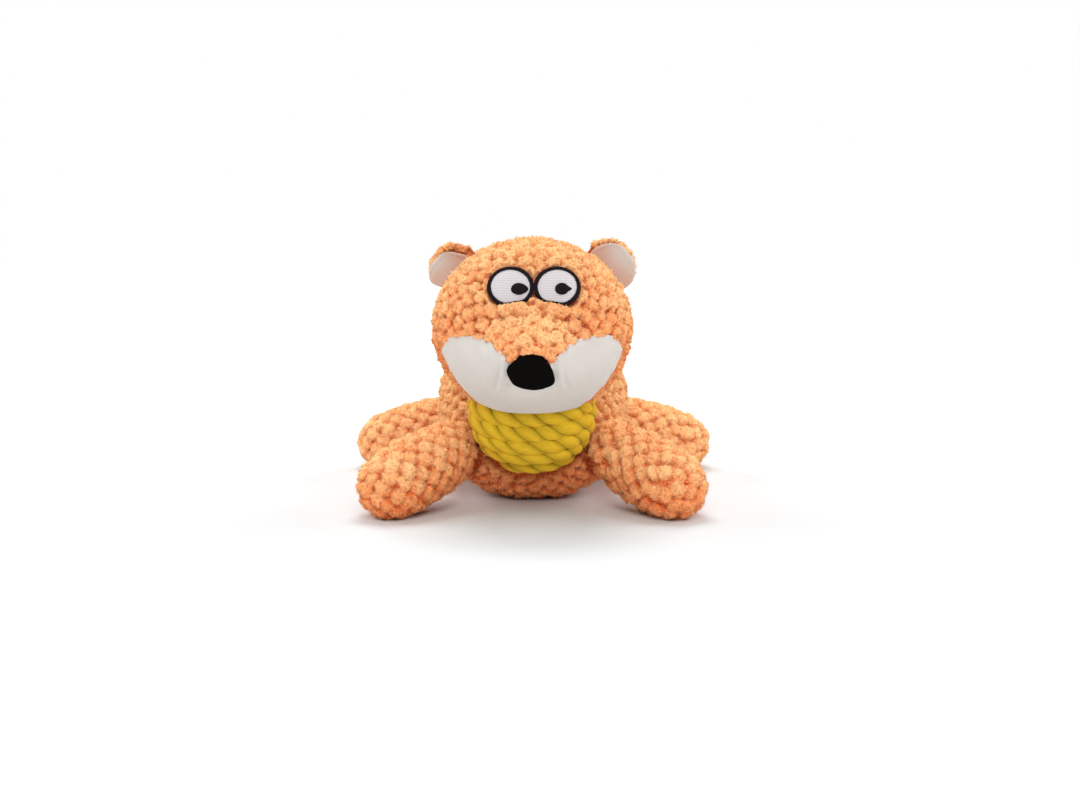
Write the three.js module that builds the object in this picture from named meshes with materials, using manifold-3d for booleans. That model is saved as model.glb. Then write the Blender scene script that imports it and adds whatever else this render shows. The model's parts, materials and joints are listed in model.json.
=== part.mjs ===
// A plush dog toy: a small fox that lies on its belly. Its stuffed head sits on a neck of wound
// rope, and its stuffed torso holds a squeaker and carries four stuffed legs and a tail.
// Millimetres. X runs to the toy's left, Y from nose to tail, Z up, and the floor is Z = 0.

import * as THREE from "three";
import { mergeVertices } from "three/addons/utils/BufferGeometryUtils.js";
import Module from "manifold-3d";

const wasm = await Module();
wasm.setup();

// Cloth, seams and filling
const plushThickness = 4;
const earClothThickness = 2.5;
const neckClothThickness = 2;
const seamGap = 0.3;
const fillGap = 0.3;
const socketGap = 0.4;
const floorCut = 0.5;

// Torso
const torsoLength = 160;
const torsoHalfWidth = 56;
const torsoHeight = 101;
const sideSeamHeight = 30;
const torsoBluntness = 2.25;

// Each row: how far along, half width, underside and top, as shares of the torso's sizes.
const torsoStationShares = [
  [0.015, 0.38, 0.145, 0.33],
  [0.05, 0.56, 0.075, 0.43],
  [0.1, 0.71, 0.028, 0.53],
  [0.17, 0.84, 0.004, 0.66],
  [0.26, 0.94, 0, 0.8],
  [0.37, 0.99, 0, 0.92],
  [0.5, 1, 0, 0.99],
  [0.63, 0.95, 0, 1],
  [0.75, 0.82, 0.01, 0.96],
  [0.85, 0.66, 0.05, 0.87],
  [0.93, 0.48, 0.13, 0.74],
  [0.98, 0.3, 0.25, 0.59],
];
const torsoFrontShare = 0.24;
const torsoRearShare = 0.42;

// Neck: a cloth ball wound with rope. It leans forward, and the head turns about its centre.
const neckHeight = 53;
const neckSetback = 2;
const neckLeanDegrees = 11;
const neckRadius = 34.2;
const neckStemRadius = 6.6;
const ropeDiameter = 7.2;
const ropeTurns = 7;
const ropeTurnGap = 0.5;
const ropeEndDrawDegrees = 12;
const ropeStartDegrees = 180;

// Head, placed from the centre of the neck
const headForward = 19;
const headRise = 46;
const headHalfWidth = 52.5;
const headHalfDepth = 46;
const headHalfHeight = 47;
const snoutLength = 20.5;
const snoutDropDegrees = 20;
const snoutSpreadDegrees = 27;
const snoutSharpness = 4.2;
const faceSeamForward = 13;
const faceSeamTiltDegrees = 20;

// Seams of the left half of the face, as shares of the head's half sizes: the upper edge of the
// muzzle panel from the nose outwards, its lower edge back to under the chin, and the reach of
// the face panel past the muzzle.
const muzzleUpperShares = [
  [0.2, -0.24],
  [0.32, -0.14],
  [0.45, -0.07],
  [0.68, -0.05],
  [0.8, -0.09],
  [0.87, -0.18],
];
const muzzleLowerShares = [
  [0.87, -0.26],
  [0.76, -0.52],
  [0.56, -0.75],
  [0.32, -0.86],
  [0.2, -1.2],
];
const faceEndShares = [
  [1.3, -0.42],
  [1.3, 1.3],
];

// Nose and eyes
const noseHalfWidth = 11.7;
const noseHalfHeight = 9;
const noseDepth = 5.5;
const eyeShift = 1;
const eyeSpread = 11.4;
const eyeRise = 22.3;
const eyeHalfWidth = 11.8;
const eyeHalfHeight = 10.2;
const eyeOutlineWidth = 2.2;
const eyeOutlineThickness = 1.6;
const eyeWhiteThickness = 1.1;
const pupilHalfWidth = 3.4;
const pupilHalfHeight = 2.9;
const pupilShift = 4;
const pupilDrop = 1;
const pupilThickness = 0.8;

// Ears: cupped half rounds that stand just behind the head's widest line
const earHalfWidth = 14;
const earHeight = 12.2;
const earBackThickness = 3;
const earCup = 6;
const earSetback = 15;
const earRoundDegrees = 49;
const earTiltDegrees = 49;
const earSeatGap = 0.6;
const earBaseWidthShare = 0.92;
const earBaseCupShare = 0.25;
const earBellyShare = 0.25;
const earTipShare = 0.97;

// Legs: all four are alike, and each turns about the ball at its root.
const legRootRadius = 14.6;
const legMiddleRadius = 18.2;
const footRadius = 17.4;
const legLength = 50;
const legRootHeight = 30;
const frontLegSetback = 13;
const frontLegSpread = 43;
const frontLegYawDegrees = 51.5;
const rearLegSetback = 132;
const rearLegSpread = 48;
const rearLegYawDegrees = 17;
const limbMouthShare = 0.45;

// Tail
const tailRootRadius = 9;
const tailMiddleRadius = 13;
const tailEndRadius = 7;
const tailLength = 42;
const tailRootStandoff = 4;
const tailRootHeight = 46;
const tailSlopeDegrees = 24;
const tailSeamShare = 0.6;

// Squeaker: a soft plastic drum with a reed in its mouth
const squeakerRadius = 20;
const squeakerHeight = 24;
const squeakerWall = 1.2;
const squeakerCentreHeight = 36;
const squeakerSetback = 80;
const squeakerShoulderShare = 0.75;
const reedRadius = 4.2;
const reedBore = 1.5;
const reedLength = 8;
const reedFlangeRadius = 7;
const reedFlangeThickness = 1.5;
const pouchSlit = 8;

// Facets
const headAround = 32;
const headAlong = 22;
const torsoAround = 20;
const fillAround = 14;
const fillAlong = 10;
const pocketAround = 16;
const pocketAlong = 10;
const squeakerAround = 14;
const stemmedRings = 8;
const limbAround = 14;
const limbFillAround = 10;
const limbRings = 3;
const ropeStepsPerTurn = 24;
const ropeSides = 6;
const ropeBendSteps = 5;
const outlineSteps = 12;
const earColumns = 6;
const earRows = 6;

const plush = { color: 0xf09a5c, roughness: 0.95, metalness: 0 };
const velour = { color: 0xe4dfda, roughness: 0.9, metalness: 0 };
const blackVelour = { color: 0x151314, roughness: 0.9, metalness: 0 };
const blackThread = { color: 0x1c1820, roughness: 0.6, metalness: 0 };
const whiteThread = { color: 0xe9e7ee, roughness: 0.5, metalness: 0 };
const cottonRope = { color: 0xd3b21c, roughness: 0.85, metalness: 0 };
const neckCloth = { color: 0xd8cfc2, roughness: 0.9, metalness: 0 };
const fibre = { color: 0xf2f2ee, roughness: 1, metalness: 0 };
const softPlastic = { color: 0xe8e8e0, roughness: 0.4, metalness: 0 };

const radians = THREE.MathUtils.degToRad;
const cutReach = 2 * torsoLength;
const sides = [["left", 1], ["right", -1]];
const up = new THREE.Vector3(0, 1, 0);

// Solids from geometries, and back

function solidOf(geometry) {
  const bare = geometry.clone();
  bare.deleteAttribute("normal");
  bare.deleteAttribute("uv");
  const merged = mergeVertices(bare);
  return new wasm.Manifold(new wasm.Mesh({
    numProp: 3,
    vertProperties: new Float32Array(merged.attributes.position.array),
    triVerts: new Uint32Array(merged.index.array),
  }));
}

function geometryOf(solid) {
  const mesh = solid.getMesh();
  const geometry = new THREE.BufferGeometry();
  geometry.setAttribute("position", new THREE.BufferAttribute(mesh.vertProperties, 3));
  geometry.setIndex(new THREE.BufferAttribute(mesh.triVerts, 1));
  geometry.computeVertexNormals();
  return geometry;
}

// A ball-shaped pocket whose flats all lie at least a radius from its centre.
function pocket(radius, centre) {
  const corner = radius / Math.cos(Math.PI / pocketAround) / Math.cos(Math.PI / 2 / pocketAlong);
  const geometry = new THREE.SphereGeometry(corner, pocketAround, pocketAlong);
  return solidOf(geometry.translate(centre.x, centre.y, centre.z));
}

function block(low, high) {
  const size = new THREE.Vector3().subVectors(high, low);
  const centre = new THREE.Vector3().addVectors(low, high).divideScalar(2);
  const geometry = new THREE.BoxGeometry(size.x, size.y, size.z);
  return solidOf(geometry.translate(centre.x, centre.y, centre.z));
}

function slab(low, high) {
  return block(
    new THREE.Vector3(-cutReach, -cutReach, low),
    new THREE.Vector3(cutReach, cutReach, high),
  );
}

// A form turned about the upright line through a place, from pairs of radius and height.
function turned(pairs, place) {
  const profile = pairs.map(([radius, height]) => new THREE.Vector2(radius, height));
  const geometry = new THREE.LatheGeometry(profile, squeakerAround).rotateX(Math.PI / 2);
  return solidOf(geometry.translate(place.x, place.y, place.z));
}

// A closed form through rings of points, with a single point at each end.
function loft(first, rings, last) {
  const count = rings[0].length;
  const points = [first, ...rings.flat(), last];
  const end = points.length - 1;
  const triangles = [];
  for (let i = 0; i < count; i += 1) {
    const next = (i + 1) % count;
    triangles.push(0, 1 + next, 1 + i);
    triangles.push(end, end - count + i, end - count + next);
    for (let ring = 0; ring < rings.length - 1; ring += 1) {
      const here = 1 + ring * count;
      const there = here + count;
      triangles.push(here + i, here + next, there + next);
      triangles.push(here + i, there + next, there + i);
    }
  }
  const geometry = new THREE.BufferGeometry().setFromPoints(points);
  geometry.setIndex(triangles);
  return geometry;
}

// A sheet with two faces: place(across, height, face) gives a point for shares from 0 to 1.
function thickSheet(columns, rows, place) {
  const points = [];
  for (const face of [0, 1]) {
    for (let row = 0; row <= rows; row += 1) {
      for (let column = 0; column <= columns; column += 1) {
        points.push(place(column / columns, row / rows, face));
      }
    }
  }
  const width = columns + 1;
  const other = width * (rows + 1);
  const triangles = [];
  const quad = (a, b, c, d) => triangles.push(a, b, c, a, c, d);
  for (let row = 0; row < rows; row += 1) {
    for (let column = 0; column < columns; column += 1) {
      const a = row * width + column;
      const b = a + width;
      quad(a, a + 1, b + 1, b);
      quad(a + other, b + other, b + 1 + other, a + 1 + other);
    }
  }
  for (let column = 0; column < columns; column += 1) {
    const top = rows * width + column;
    quad(column + 1, column, column + other, column + 1 + other);
    quad(top, top + 1, top + 1 + other, top + other);
  }
  for (let row = 0; row < rows; row += 1) {
    const start = row * width;
    const finish = start + columns;
    quad(start, start + width, start + width + other, start + other);
    quad(finish + width, finish, finish + other, finish + width + other);
  }
  const geometry = new THREE.BufferGeometry().setFromPoints(points);
  geometry.setIndex(triangles);
  return geometry;
}

// A group that another carries, given by its place and turn in the toy.
function carriedBy(parent, place, turn = new THREE.Quaternion()) {
  const group = new THREE.Group();
  group.position.copy(place);
  group.quaternion.copy(turn);
  parent.attach(group);
  group.updateMatrixWorld(true);
  return group;
}

// Pieces are cut where they lie in the toy, then kept in the frame of the group that carries them.
function addPiece(group, name, solid, finish) {
  const geometry = geometryOf(solid).applyMatrix4(group.matrixWorld.clone().invert());
  const mesh = new THREE.Mesh(geometry, new THREE.MeshStandardMaterial(finish));
  mesh.name = name;
  group.add(mesh);
}

const toy = new THREE.Group();
const torso = carriedBy(toy, new THREE.Vector3());
const underFloor = slab(-cutReach, 0);

// Torso

const neckCentre = new THREE.Vector3(0, neckSetback, neckHeight);
const tailRoot = new THREE.Vector3(0, torsoLength + tailRootStandoff, tailRootHeight);
const legRoots = [];
for (const [side, sign] of sides) {
  legRoots.push({
    name: `front_leg_${side}`,
    place: new THREE.Vector3(sign * frontLegSpread, frontLegSetback, legRootHeight),
    yaw: radians(frontLegYawDegrees),
    sign,
  });
  legRoots.push({
    name: `rear_leg_${side}`,
    place: new THREE.Vector3(sign * rearLegSpread, rearLegSetback, legRootHeight),
    yaw: radians(rearLegYawDegrees),
    sign,
  });
}

function torsoForm(inset, around) {
  const length = torsoLength - 2 * inset;
  const height = torsoHeight - 2 * inset;
  const low = inset - floorCut;
  const blunt = (value) => Math.sign(value) * Math.abs(value) ** (2 / torsoBluntness);
  const rings = torsoStationShares.map(([along, width, under, top]) => {
    const middle = low + (height * (top + under)) / 2;
    const half = (height * (top - under)) / 2;
    const ring = [];
    for (let i = 0; i < around; i += 1) {
      const angle = (2 * Math.PI * i) / around;
      ring.push(new THREE.Vector3(
        width * (torsoHalfWidth - inset) * blunt(-Math.cos(angle)),
        inset + along * length,
        middle + half * blunt(Math.sin(angle)),
      ));
    }
    return ring;
  });
  const front = new THREE.Vector3(0, inset, low + torsoFrontShare * height);
  const rear = new THREE.Vector3(0, inset + length, low + torsoRearShare * height);
  return solidOf(loft(front, rings, rear));
}

const neckPocket = pocket(neckRadius + socketGap, neckCentre);
let torsoPockets = neckPocket.add(pocket(tailRootRadius + socketGap, tailRoot));
for (const { place } of legRoots) {
  torsoPockets = torsoPockets.add(pocket(legRootRadius + socketGap, place));
}
const torsoShell = torsoForm(0, torsoAround)
  .subtract(torsoForm(plushThickness, fillAround))
  .subtract(torsoPockets)
  .subtract(underFloor);
const overSideSeam = slab(sideSeamHeight + seamGap / 2, cutReach);
const underSideSeam = slab(-cutReach, sideSeamHeight - seamGap / 2);
addPiece(torso, "torso_back_panel", torsoShell.intersect(overSideSeam), plush);
addPiece(torso, "torso_belly_panel", torsoShell.intersect(underSideSeam), plush);

// Squeaker, in a slit pouch in the torso's filling

function drum(radius, halfHeight, place) {
  const shoulder = squeakerShoulderShare * radius;
  return turned([
    [0, -halfHeight],
    [shoulder, -halfHeight],
    [radius, -halfHeight / 2],
    [radius, halfHeight / 2],
    [shoulder, halfHeight],
    [0, halfHeight],
  ], place);
}

const squeakerCentre = new THREE.Vector3(0, squeakerSetback, squeakerCentreHeight);
const flangeUnder = squeakerHeight / 2 + fillGap;
const flangeTop = flangeUnder + reedFlangeThickness;
const reedFoot = flangeUnder - reedLength;
const mouthRadius = reedRadius + fillGap;
const bladderMouth = turned(
  [[0, 0], [mouthRadius, 0], [mouthRadius, flangeTop], [0, flangeTop]],
  squeakerCentre,
);
const bladder = drum(squeakerRadius, squeakerHeight / 2, squeakerCentre)
  .subtract(drum(squeakerRadius - squeakerWall, squeakerHeight / 2 - squeakerWall, squeakerCentre))
  .subtract(bladderMouth);
const reed = turned([
  [reedBore, reedFoot],
  [reedRadius, reedFoot],
  [reedRadius, flangeUnder],
  [reedFlangeRadius, flangeUnder],
  [reedFlangeRadius, flangeTop],
  [reedBore, flangeTop],
  [reedBore, reedFoot],
], squeakerCentre);
const pouchRadius = squeakerRadius + fillGap;
const pouchFloor = -squeakerHeight / 2 - fillGap;
const pouchTop = flangeTop + fillGap;
const pouch = turned(
  [[0, pouchFloor], [pouchRadius, pouchFloor], [pouchRadius, pouchTop], [0, pouchTop]],
  squeakerCentre,
);
const pouchMouth = block(
  new THREE.Vector3(-pouchRadius, squeakerSetback - pouchSlit / 2, -cutReach),
  new THREE.Vector3(pouchRadius, squeakerSetback + pouchSlit / 2, squeakerCentreHeight),
);
const torsoFilling = torsoForm(plushThickness + fillGap, fillAround)
  .subtract(torsoPockets)
  .subtract(pouch)
  .subtract(pouchMouth);
addPiece(torso, "torso_filling", torsoFilling, fibre);
addPiece(torso, "squeaker_bladder", bladder, softPlastic);
addPiece(torso, "squeaker_reed", reed, softPlastic);

// Limbs: stuffed bags that swell from a ball at the root to a round end

function limbForm(limb, inset, around) {
  const root = limb.rootRadius - inset;
  const end = limb.endRadius - inset;
  const swell = 2 * (limb.middleRadius - inset) - (root + end) / 2;
  const profile = [new THREE.Vector2(0, -root)];
  for (let i = 1; i < limbRings; i += 1) {
    const angle = ((i / limbRings - 1) * Math.PI) / 2;
    profile.push(new THREE.Vector2(root * Math.cos(angle), root * Math.sin(angle)));
  }
  for (let i = 0; i <= limbRings; i += 1) {
    const along = i / limbRings;
    const back = 1 - along;
    const radius = root * back * back + 2 * swell * along * back + end * along * along;
    profile.push(new THREE.Vector2(radius, limb.length * along));
  }
  for (let i = 1; i < limbRings; i += 1) {
    const angle = ((i / limbRings) * Math.PI) / 2;
    profile.push(new THREE.Vector2(end * Math.cos(angle), limb.length + end * Math.sin(angle)));
  }
  profile.push(new THREE.Vector2(0, limb.length + end));
  return new THREE.LatheGeometry(profile, around);
}

// A cutting block over the part of a limb between two heights above its root.
function limbSpan(group, low, high) {
  const geometry = new THREE.BoxGeometry(cutReach, high - low, cutReach);
  geometry.translate(0, (low + high) / 2, 0);
  return solidOf(geometry.applyMatrix4(group.matrixWorld));
}

function limbParts(limb, group) {
  const placed = (geometry) => solidOf(geometry.applyMatrix4(group.matrixWorld));
  const mouthHeight = -limb.rootRadius * limbMouthShare;
  const shell = placed(limbForm(limb, 0, limbAround))
    .subtract(placed(limbForm(limb, plushThickness, limbFillAround)))
    .subtract(limbSpan(group, -cutReach, mouthHeight))
    .subtract(underFloor);
  const filling = placed(limbForm(limb, plushThickness + fillGap, limbFillAround));
  return { shell, filling };
}

const leg = {
  rootRadius: legRootRadius,
  middleRadius: legMiddleRadius,
  endRadius: footRadius,
  length: legLength,
};
const legSlope = Math.asin((legRootHeight - footRadius + floorCut) / legLength);
for (const { name, place, yaw, sign } of legRoots) {
  const direction = new THREE.Vector3(
    sign * Math.cos(yaw) * Math.cos(legSlope),
    -Math.sin(yaw) * Math.cos(legSlope),
    -Math.sin(legSlope),
  );
  const turn = new THREE.Quaternion().setFromUnitVectors(up, direction);
  const group = carriedBy(torso, place, turn);
  const { shell, filling } = limbParts(leg, group);
  addPiece(group, `${name}_cover`, shell, plush);
  addPiece(group, `${name}_filling`, filling, fibre);
}

// Tail

const tail = {
  rootRadius: tailRootRadius,
  middleRadius: tailMiddleRadius,
  endRadius: tailEndRadius,
  length: tailLength,
};
const tailSlope = radians(tailSlopeDegrees);
const tailDirection = new THREE.Vector3(0, Math.cos(tailSlope), -Math.sin(tailSlope));
const tailTurn = new THREE.Quaternion().setFromUnitVectors(up, tailDirection);
const tailGroup = carriedBy(torso, tailRoot, tailTurn);
const tailParts = limbParts(tail, tailGroup);
const tailSeam = tailLength * tailSeamShare;
const beforeTailSeam = limbSpan(tailGroup, -cutReach, tailSeam - seamGap / 2);
const pastTailSeam = limbSpan(tailGroup, tailSeam + seamGap / 2, cutReach);
addPiece(tailGroup, "tail_cover", tailParts.shell.intersect(beforeTailSeam), plush);
addPiece(tailGroup, "tail_tip", tailParts.shell.intersect(pastTailSeam), velour);
addPiece(tailGroup, "tail_filling", tailParts.filling, fibre);

// Neck: a stuffed cloth ball with a stem at each pole, wound with rope

const neckTurn = new THREE.Quaternion().setFromAxisAngle(
  new THREE.Vector3(1, 0, 0),
  radians(neckLeanDegrees),
);
const neck = carriedBy(torso, neckCentre, neckTurn);
const ropeRadius = ropeDiameter / 2;
const ropeReach = neckRadius - ropeRadius;
const turnStep = 2 * Math.asin((ropeDiameter + ropeTurnGap) / (2 * ropeReach));
const ropeEndDraw = radians(ropeEndDrawDegrees);

// The rope's middle line on the ball, a number of turns from its lower end. Over the last turn
// at each end the rope is drawn in towards the pole.
function woundPoint(turns) {
  const drawn = (past) => ropeEndDraw * Math.max(0, 1 - past) ** 2;
  const latitude = turnStep * (turns - ropeTurns / 2) - drawn(turns) + drawn(ropeTurns - turns);
  const longitude = radians(ropeStartDegrees) + 2 * Math.PI * turns;
  return new THREE.Vector3(
    ropeReach * Math.cos(latitude) * Math.cos(longitude),
    ropeReach * Math.cos(latitude) * Math.sin(longitude),
    ropeReach * Math.sin(latitude),
  );
}

// A tucked end: the rope bends inwards from the ball and then runs straight for one diameter.
function tuckedLine(turns, onward) {
  const start = woundPoint(turns);
  const radial = start.clone().normalize();
  const travel = new THREE.Vector3()
    .subVectors(start, woundPoint(turns - onward / ropeStepsPerTurn))
    .normalize();
  travel.addScaledVector(radial, -travel.dot(radial)).normalize();
  const line = [];
  for (let i = 1; i <= ropeBendSteps; i += 1) {
    const angle = ((i / ropeBendSteps) * Math.PI) / 2;
    line.push(start.clone()
      .addScaledVector(travel, ropeDiameter * Math.sin(angle))
      .addScaledVector(radial, -ropeDiameter * (1 - Math.cos(angle))));
  }
  line.push(line.at(-1).clone().addScaledVector(radial, -ropeDiameter));
  return line;
}

// A tube along a line of points. Each point has a direction across the line, beside the ball.
function ropeTube(line, radius) {
  const rings = line.map(({ point, across }, index) => {
    const before = line[Math.max(index - 1, 0)].point;
    const after = line[Math.min(index + 1, line.length - 1)].point;
    const travel = new THREE.Vector3().subVectors(after, before).normalize();
    const outward = new THREE.Vector3().crossVectors(across, travel).normalize();
    const ring = [];
    for (let i = 0; i < ropeSides; i += 1) {
      const angle = (2 * Math.PI * i) / ropeSides;
      ring.push(point.clone()
        .addScaledVector(outward, radius * Math.cos(angle))
        .addScaledVector(across, radius * Math.sin(angle)));
    }
    return ring;
  });
  return solidOf(loft(line[0].point, rings, line.at(-1).point).applyMatrix4(neck.matrixWorld));
}

const woundLine = [];
for (let i = 0; i <= ropeTurns * ropeStepsPerTurn; i += 1) {
  const turns = i / ropeStepsPerTurn;
  const travel = new THREE.Vector3().subVectors(
    woundPoint(turns + 1 / ropeStepsPerTurn),
    woundPoint(turns - 1 / ropeStepsPerTurn),
  );
  const point = woundPoint(turns);
  woundLine.push({ point, across: travel.cross(point).normalize() });
}
const withAcross = (points, { across }) => points.map((point) => ({ point, across }));
const lowerEnd = withAcross(tuckedLine(0, -1).reverse(), woundLine[0]);
const upperEnd = withAcross(tuckedLine(ropeTurns, 1), woundLine.at(-1));
const ropeLine = [...lowerEnd, ...woundLine, ...upperEnd];

// The least gap is taken between points more than two and a half diameters apart on the rope.
const ropeRun = [0];
for (let i = 1; i < ropeLine.length; i += 1) {
  ropeRun.push(ropeRun[i - 1] + ropeLine[i].point.distanceTo(ropeLine[i - 1].point));
}
let leastGap = Infinity;
for (let i = 0; i < ropeLine.length; i += 1) {
  for (let j = i + 1; j < ropeLine.length; j += 1) {
    if (ropeRun[j] - ropeRun[i] > 2.5 * ropeDiameter) {
      const apart = ropeLine[i].point.distanceTo(ropeLine[j].point);
      leastGap = Math.min(leastGap, apart - ropeDiameter);
    }
  }
}
console.log(`The neck rope is ${ropeRun.at(-1).toFixed(0)} mm long.`);
console.log(`Its least gap to itself is ${leastGap.toFixed(2)} mm.`);

// A ball with a straight stem at each pole, its stems ending a reach from the middle.
function stemmedBall(radius, stemRadius, reach) {
  const stemFoot = Math.asin(stemRadius / radius);
  const pairs = [[0, -reach], [stemRadius, -reach]];
  for (let i = 0; i <= stemmedRings; i += 1) {
    const angle = stemFoot + ((Math.PI - 2 * stemFoot) * i) / stemmedRings;
    pairs.push([radius * Math.sin(angle), -radius * Math.cos(angle)]);
  }
  pairs.push([stemRadius, reach], [0, reach]);
  const profile = pairs.map(([across, along]) => new THREE.Vector2(across, along));
  const geometry = new THREE.LatheGeometry(profile, fillAround).rotateX(Math.PI / 2);
  return solidOf(geometry.applyMatrix4(neck.matrixWorld));
}

const neckBallRadius = ropeReach - ropeRadius - seamGap;
const neckStemReach = Math.sqrt(neckRadius ** 2 - neckStemRadius ** 2);
const neckHoles = ropeTube([...lowerEnd, woundLine[0]], ropeRadius + fillGap)
  .add(ropeTube([woundLine.at(-1), ...upperEnd], ropeRadius + fillGap));
const neckLining = neckClothThickness + fillGap;
const neckCover = stemmedBall(neckBallRadius, neckStemRadius, neckStemReach)
  .subtract(stemmedBall(
    neckBallRadius - neckClothThickness,
    neckStemRadius - neckClothThickness,
    neckRadius,
  ))
  .subtract(neckHoles);
const neckFilling = stemmedBall(
  neckBallRadius - neckLining,
  neckStemRadius - neckLining,
  neckStemReach,
).subtract(neckHoles);
addPiece(neck, "neck_cover", neckCover, neckCloth);
addPiece(neck, "neck_filling", neckFilling, fibre);
addPiece(neck, "neck_rope", ropeTube(ropeLine, ropeRadius), cottonRope);

// Head

const headCentre = new THREE.Vector3(0, neckSetback - headForward, neckHeight + headRise);
const head = carriedBy(neck, neckCentre);
const snoutDrop = radians(snoutDropDegrees);
const snoutDirection = new THREE.Vector3(0, -Math.cos(snoutDrop), -Math.sin(snoutDrop));
const snoutTip = new THREE.Vector3(
  0,
  headCentre.y - headHalfDepth * Math.cos(snoutDrop) - snoutLength,
  headCentre.z - headHalfHeight * Math.sin(snoutDrop),
);

// An egg-shaped form with a snout that swells forward, grown by an offset.
function headForm(offset, around = headAround, along = headAlong) {
  const geometry = new THREE.SphereGeometry(1, around, along);
  const position = geometry.attributes.position;
  const point = new THREE.Vector3();
  for (let i = 0; i < position.count; i += 1) {
    point.fromBufferAttribute(position, i);
    const away = point.angleTo(snoutDirection) / radians(snoutSpreadDegrees);
    const forward = snoutLength * Math.exp(-(away ** snoutSharpness));
    position.setXYZ(
      i,
      headCentre.x + point.x * (headHalfWidth + offset),
      headCentre.y + point.y * (headHalfDepth + offset) - forward,
      headCentre.z + point.z * (headHalfHeight + offset),
    );
  }
  return solidOf(geometry);
}

// A block that reaches forward from the middle of the head, over a flat outline.
function facePrism(shape, x, z) {
  const settings = { depth: cutReach, bevelEnabled: false, curveSegments: outlineSteps };
  const geometry = new THREE.ExtrudeGeometry(shape, settings).rotateX(Math.PI / 2);
  return solidOf(geometry.translate(x, headCentre.y, z));
}

function ellipse(halfWidth, halfHeight) {
  return new THREE.Shape().absellipse(0, 0, halfWidth, halfHeight, 0, 2 * Math.PI);
}

const faceSeamTurn = radians(faceSeamTiltDegrees);
function faceSide(low, high) {
  const geometry = new THREE.BoxGeometry(2 * cutReach, high - low, 2 * cutReach);
  geometry.translate(0, (low + high) / 2 - faceSeamForward, 0);
  geometry.rotateX(-faceSeamTurn);
  return solidOf(geometry.translate(headCentre.x, headCentre.y, headCentre.z));
}

// The outline of a field of the face, from shares of its left half, grown by an offset.
function faceOutline(shares, grow) {
  const left = shares.map(([x, z]) => new THREE.Vector2(x * headHalfWidth, z * headHalfHeight));
  const right = left.map(({ x, y }) => new THREE.Vector2(-x, y)).reverse();
  const corners = [...left, ...right];
  const out = THREE.ShapeUtils.isClockWise(corners) ? grow : -grow;
  return new THREE.Shape(corners.map((corner, index) => {
    const sidesHere = [corners.at(index - 1), corner, corners[(index + 1) % corners.length]];
    const [before, after] = [0, 1].map((side) => {
      const along = sidesHere[side + 1].clone().sub(sidesHere[side]).normalize();
      return new THREE.Vector2(-along.y, along.x);
    });
    const middle = before.clone().add(after).normalize();
    return corner.clone().addScaledVector(middle, out / middle.dot(before));
  }));
}

const muzzleField = (grow) => facePrism(
  faceOutline([...muzzleUpperShares, ...muzzleLowerShares], grow),
  headCentre.x,
  headCentre.z,
);
const faceField = (grow) => facePrism(
  faceOutline([...muzzleUpperShares, ...faceEndShares], grow),
  headCentre.x,
  headCentre.z,
).intersect(faceSide(-cutReach, grow));

const headShell = headForm(0)
  .subtract(headForm(-plushThickness, fillAround, fillAlong))
  .subtract(neckPocket);
const headBack = headShell.subtract(faceField(seamGap / 2)).subtract(muzzleField(seamGap / 2));
const headFace = headShell.intersect(faceField(-seamGap / 2));
const headFilling = headForm(-plushThickness - fillGap, fillAround, fillAlong);
addPiece(head, "head_back_panel", headBack, plush);
addPiece(head, "head_face_panel", headFace, plush);
addPiece(head, "muzzle_panel", headShell.intersect(muzzleField(-seamGap / 2)), velour);
addPiece(head, "head_filling", headFilling.subtract(neckPocket), fibre);

const noseForm = new THREE.SphereGeometry(1, fillAround, fillAlong)
  .scale(noseHalfWidth, noseDepth, noseHalfHeight)
  .translate(snoutTip.x, snoutTip.y, snoutTip.z);
addPiece(head, "nose", solidOf(noseForm).subtract(headForm(seamGap)), blackVelour);

// Eyes: two rings joined in the middle, a white in each and a pupil on each white

const headSkin = headForm(seamGap);
const whiteTop = seamGap + eyeWhiteThickness;
const pupilFoot = whiteTop + seamGap;
const eyeHeight = headCentre.z + eyeRise;
const eyeField = (inset, sign) => facePrism(
  ellipse(eyeHalfWidth - inset, eyeHalfHeight - inset),
  eyeShift + sign * eyeSpread,
  eyeHeight,
);
const eyeRings = eyeField(0, 1)
  .add(eyeField(0, -1))
  .subtract(eyeField(eyeOutlineWidth, 1))
  .subtract(eyeField(eyeOutlineWidth, -1));
const ringLayer = headForm(seamGap + eyeOutlineThickness).subtract(headSkin);
const whiteLayer = headForm(whiteTop).subtract(headSkin);
const pupilLayer = headForm(pupilFoot + pupilThickness).subtract(headForm(pupilFoot));
addPiece(head, "eye_outline", ringLayer.intersect(eyeRings), blackThread);
for (const [side, sign] of sides) {
  const white = whiteLayer.intersect(eyeField(eyeOutlineWidth + seamGap, sign));
  const pupilField = facePrism(
    ellipse(pupilHalfWidth, pupilHalfHeight),
    eyeShift + sign * eyeSpread + pupilShift,
    eyeHeight - pupilDrop,
  );
  addPiece(head, `eye_white_${side}`, white, whiteThread);
  addPiece(head, `pupil_${side}`, pupilLayer.intersect(pupilField), blackThread);
}

// Ears

const earHem = (earBackThickness + seamGap + earClothThickness) / 2;
const earRound = radians(earRoundDegrees);
const earTilt = radians(earTiltDegrees);
const earSetbackShare = earSetback / headHalfDepth;
const earRingShare = Math.sqrt(1 - earSetbackShare ** 2);

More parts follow.
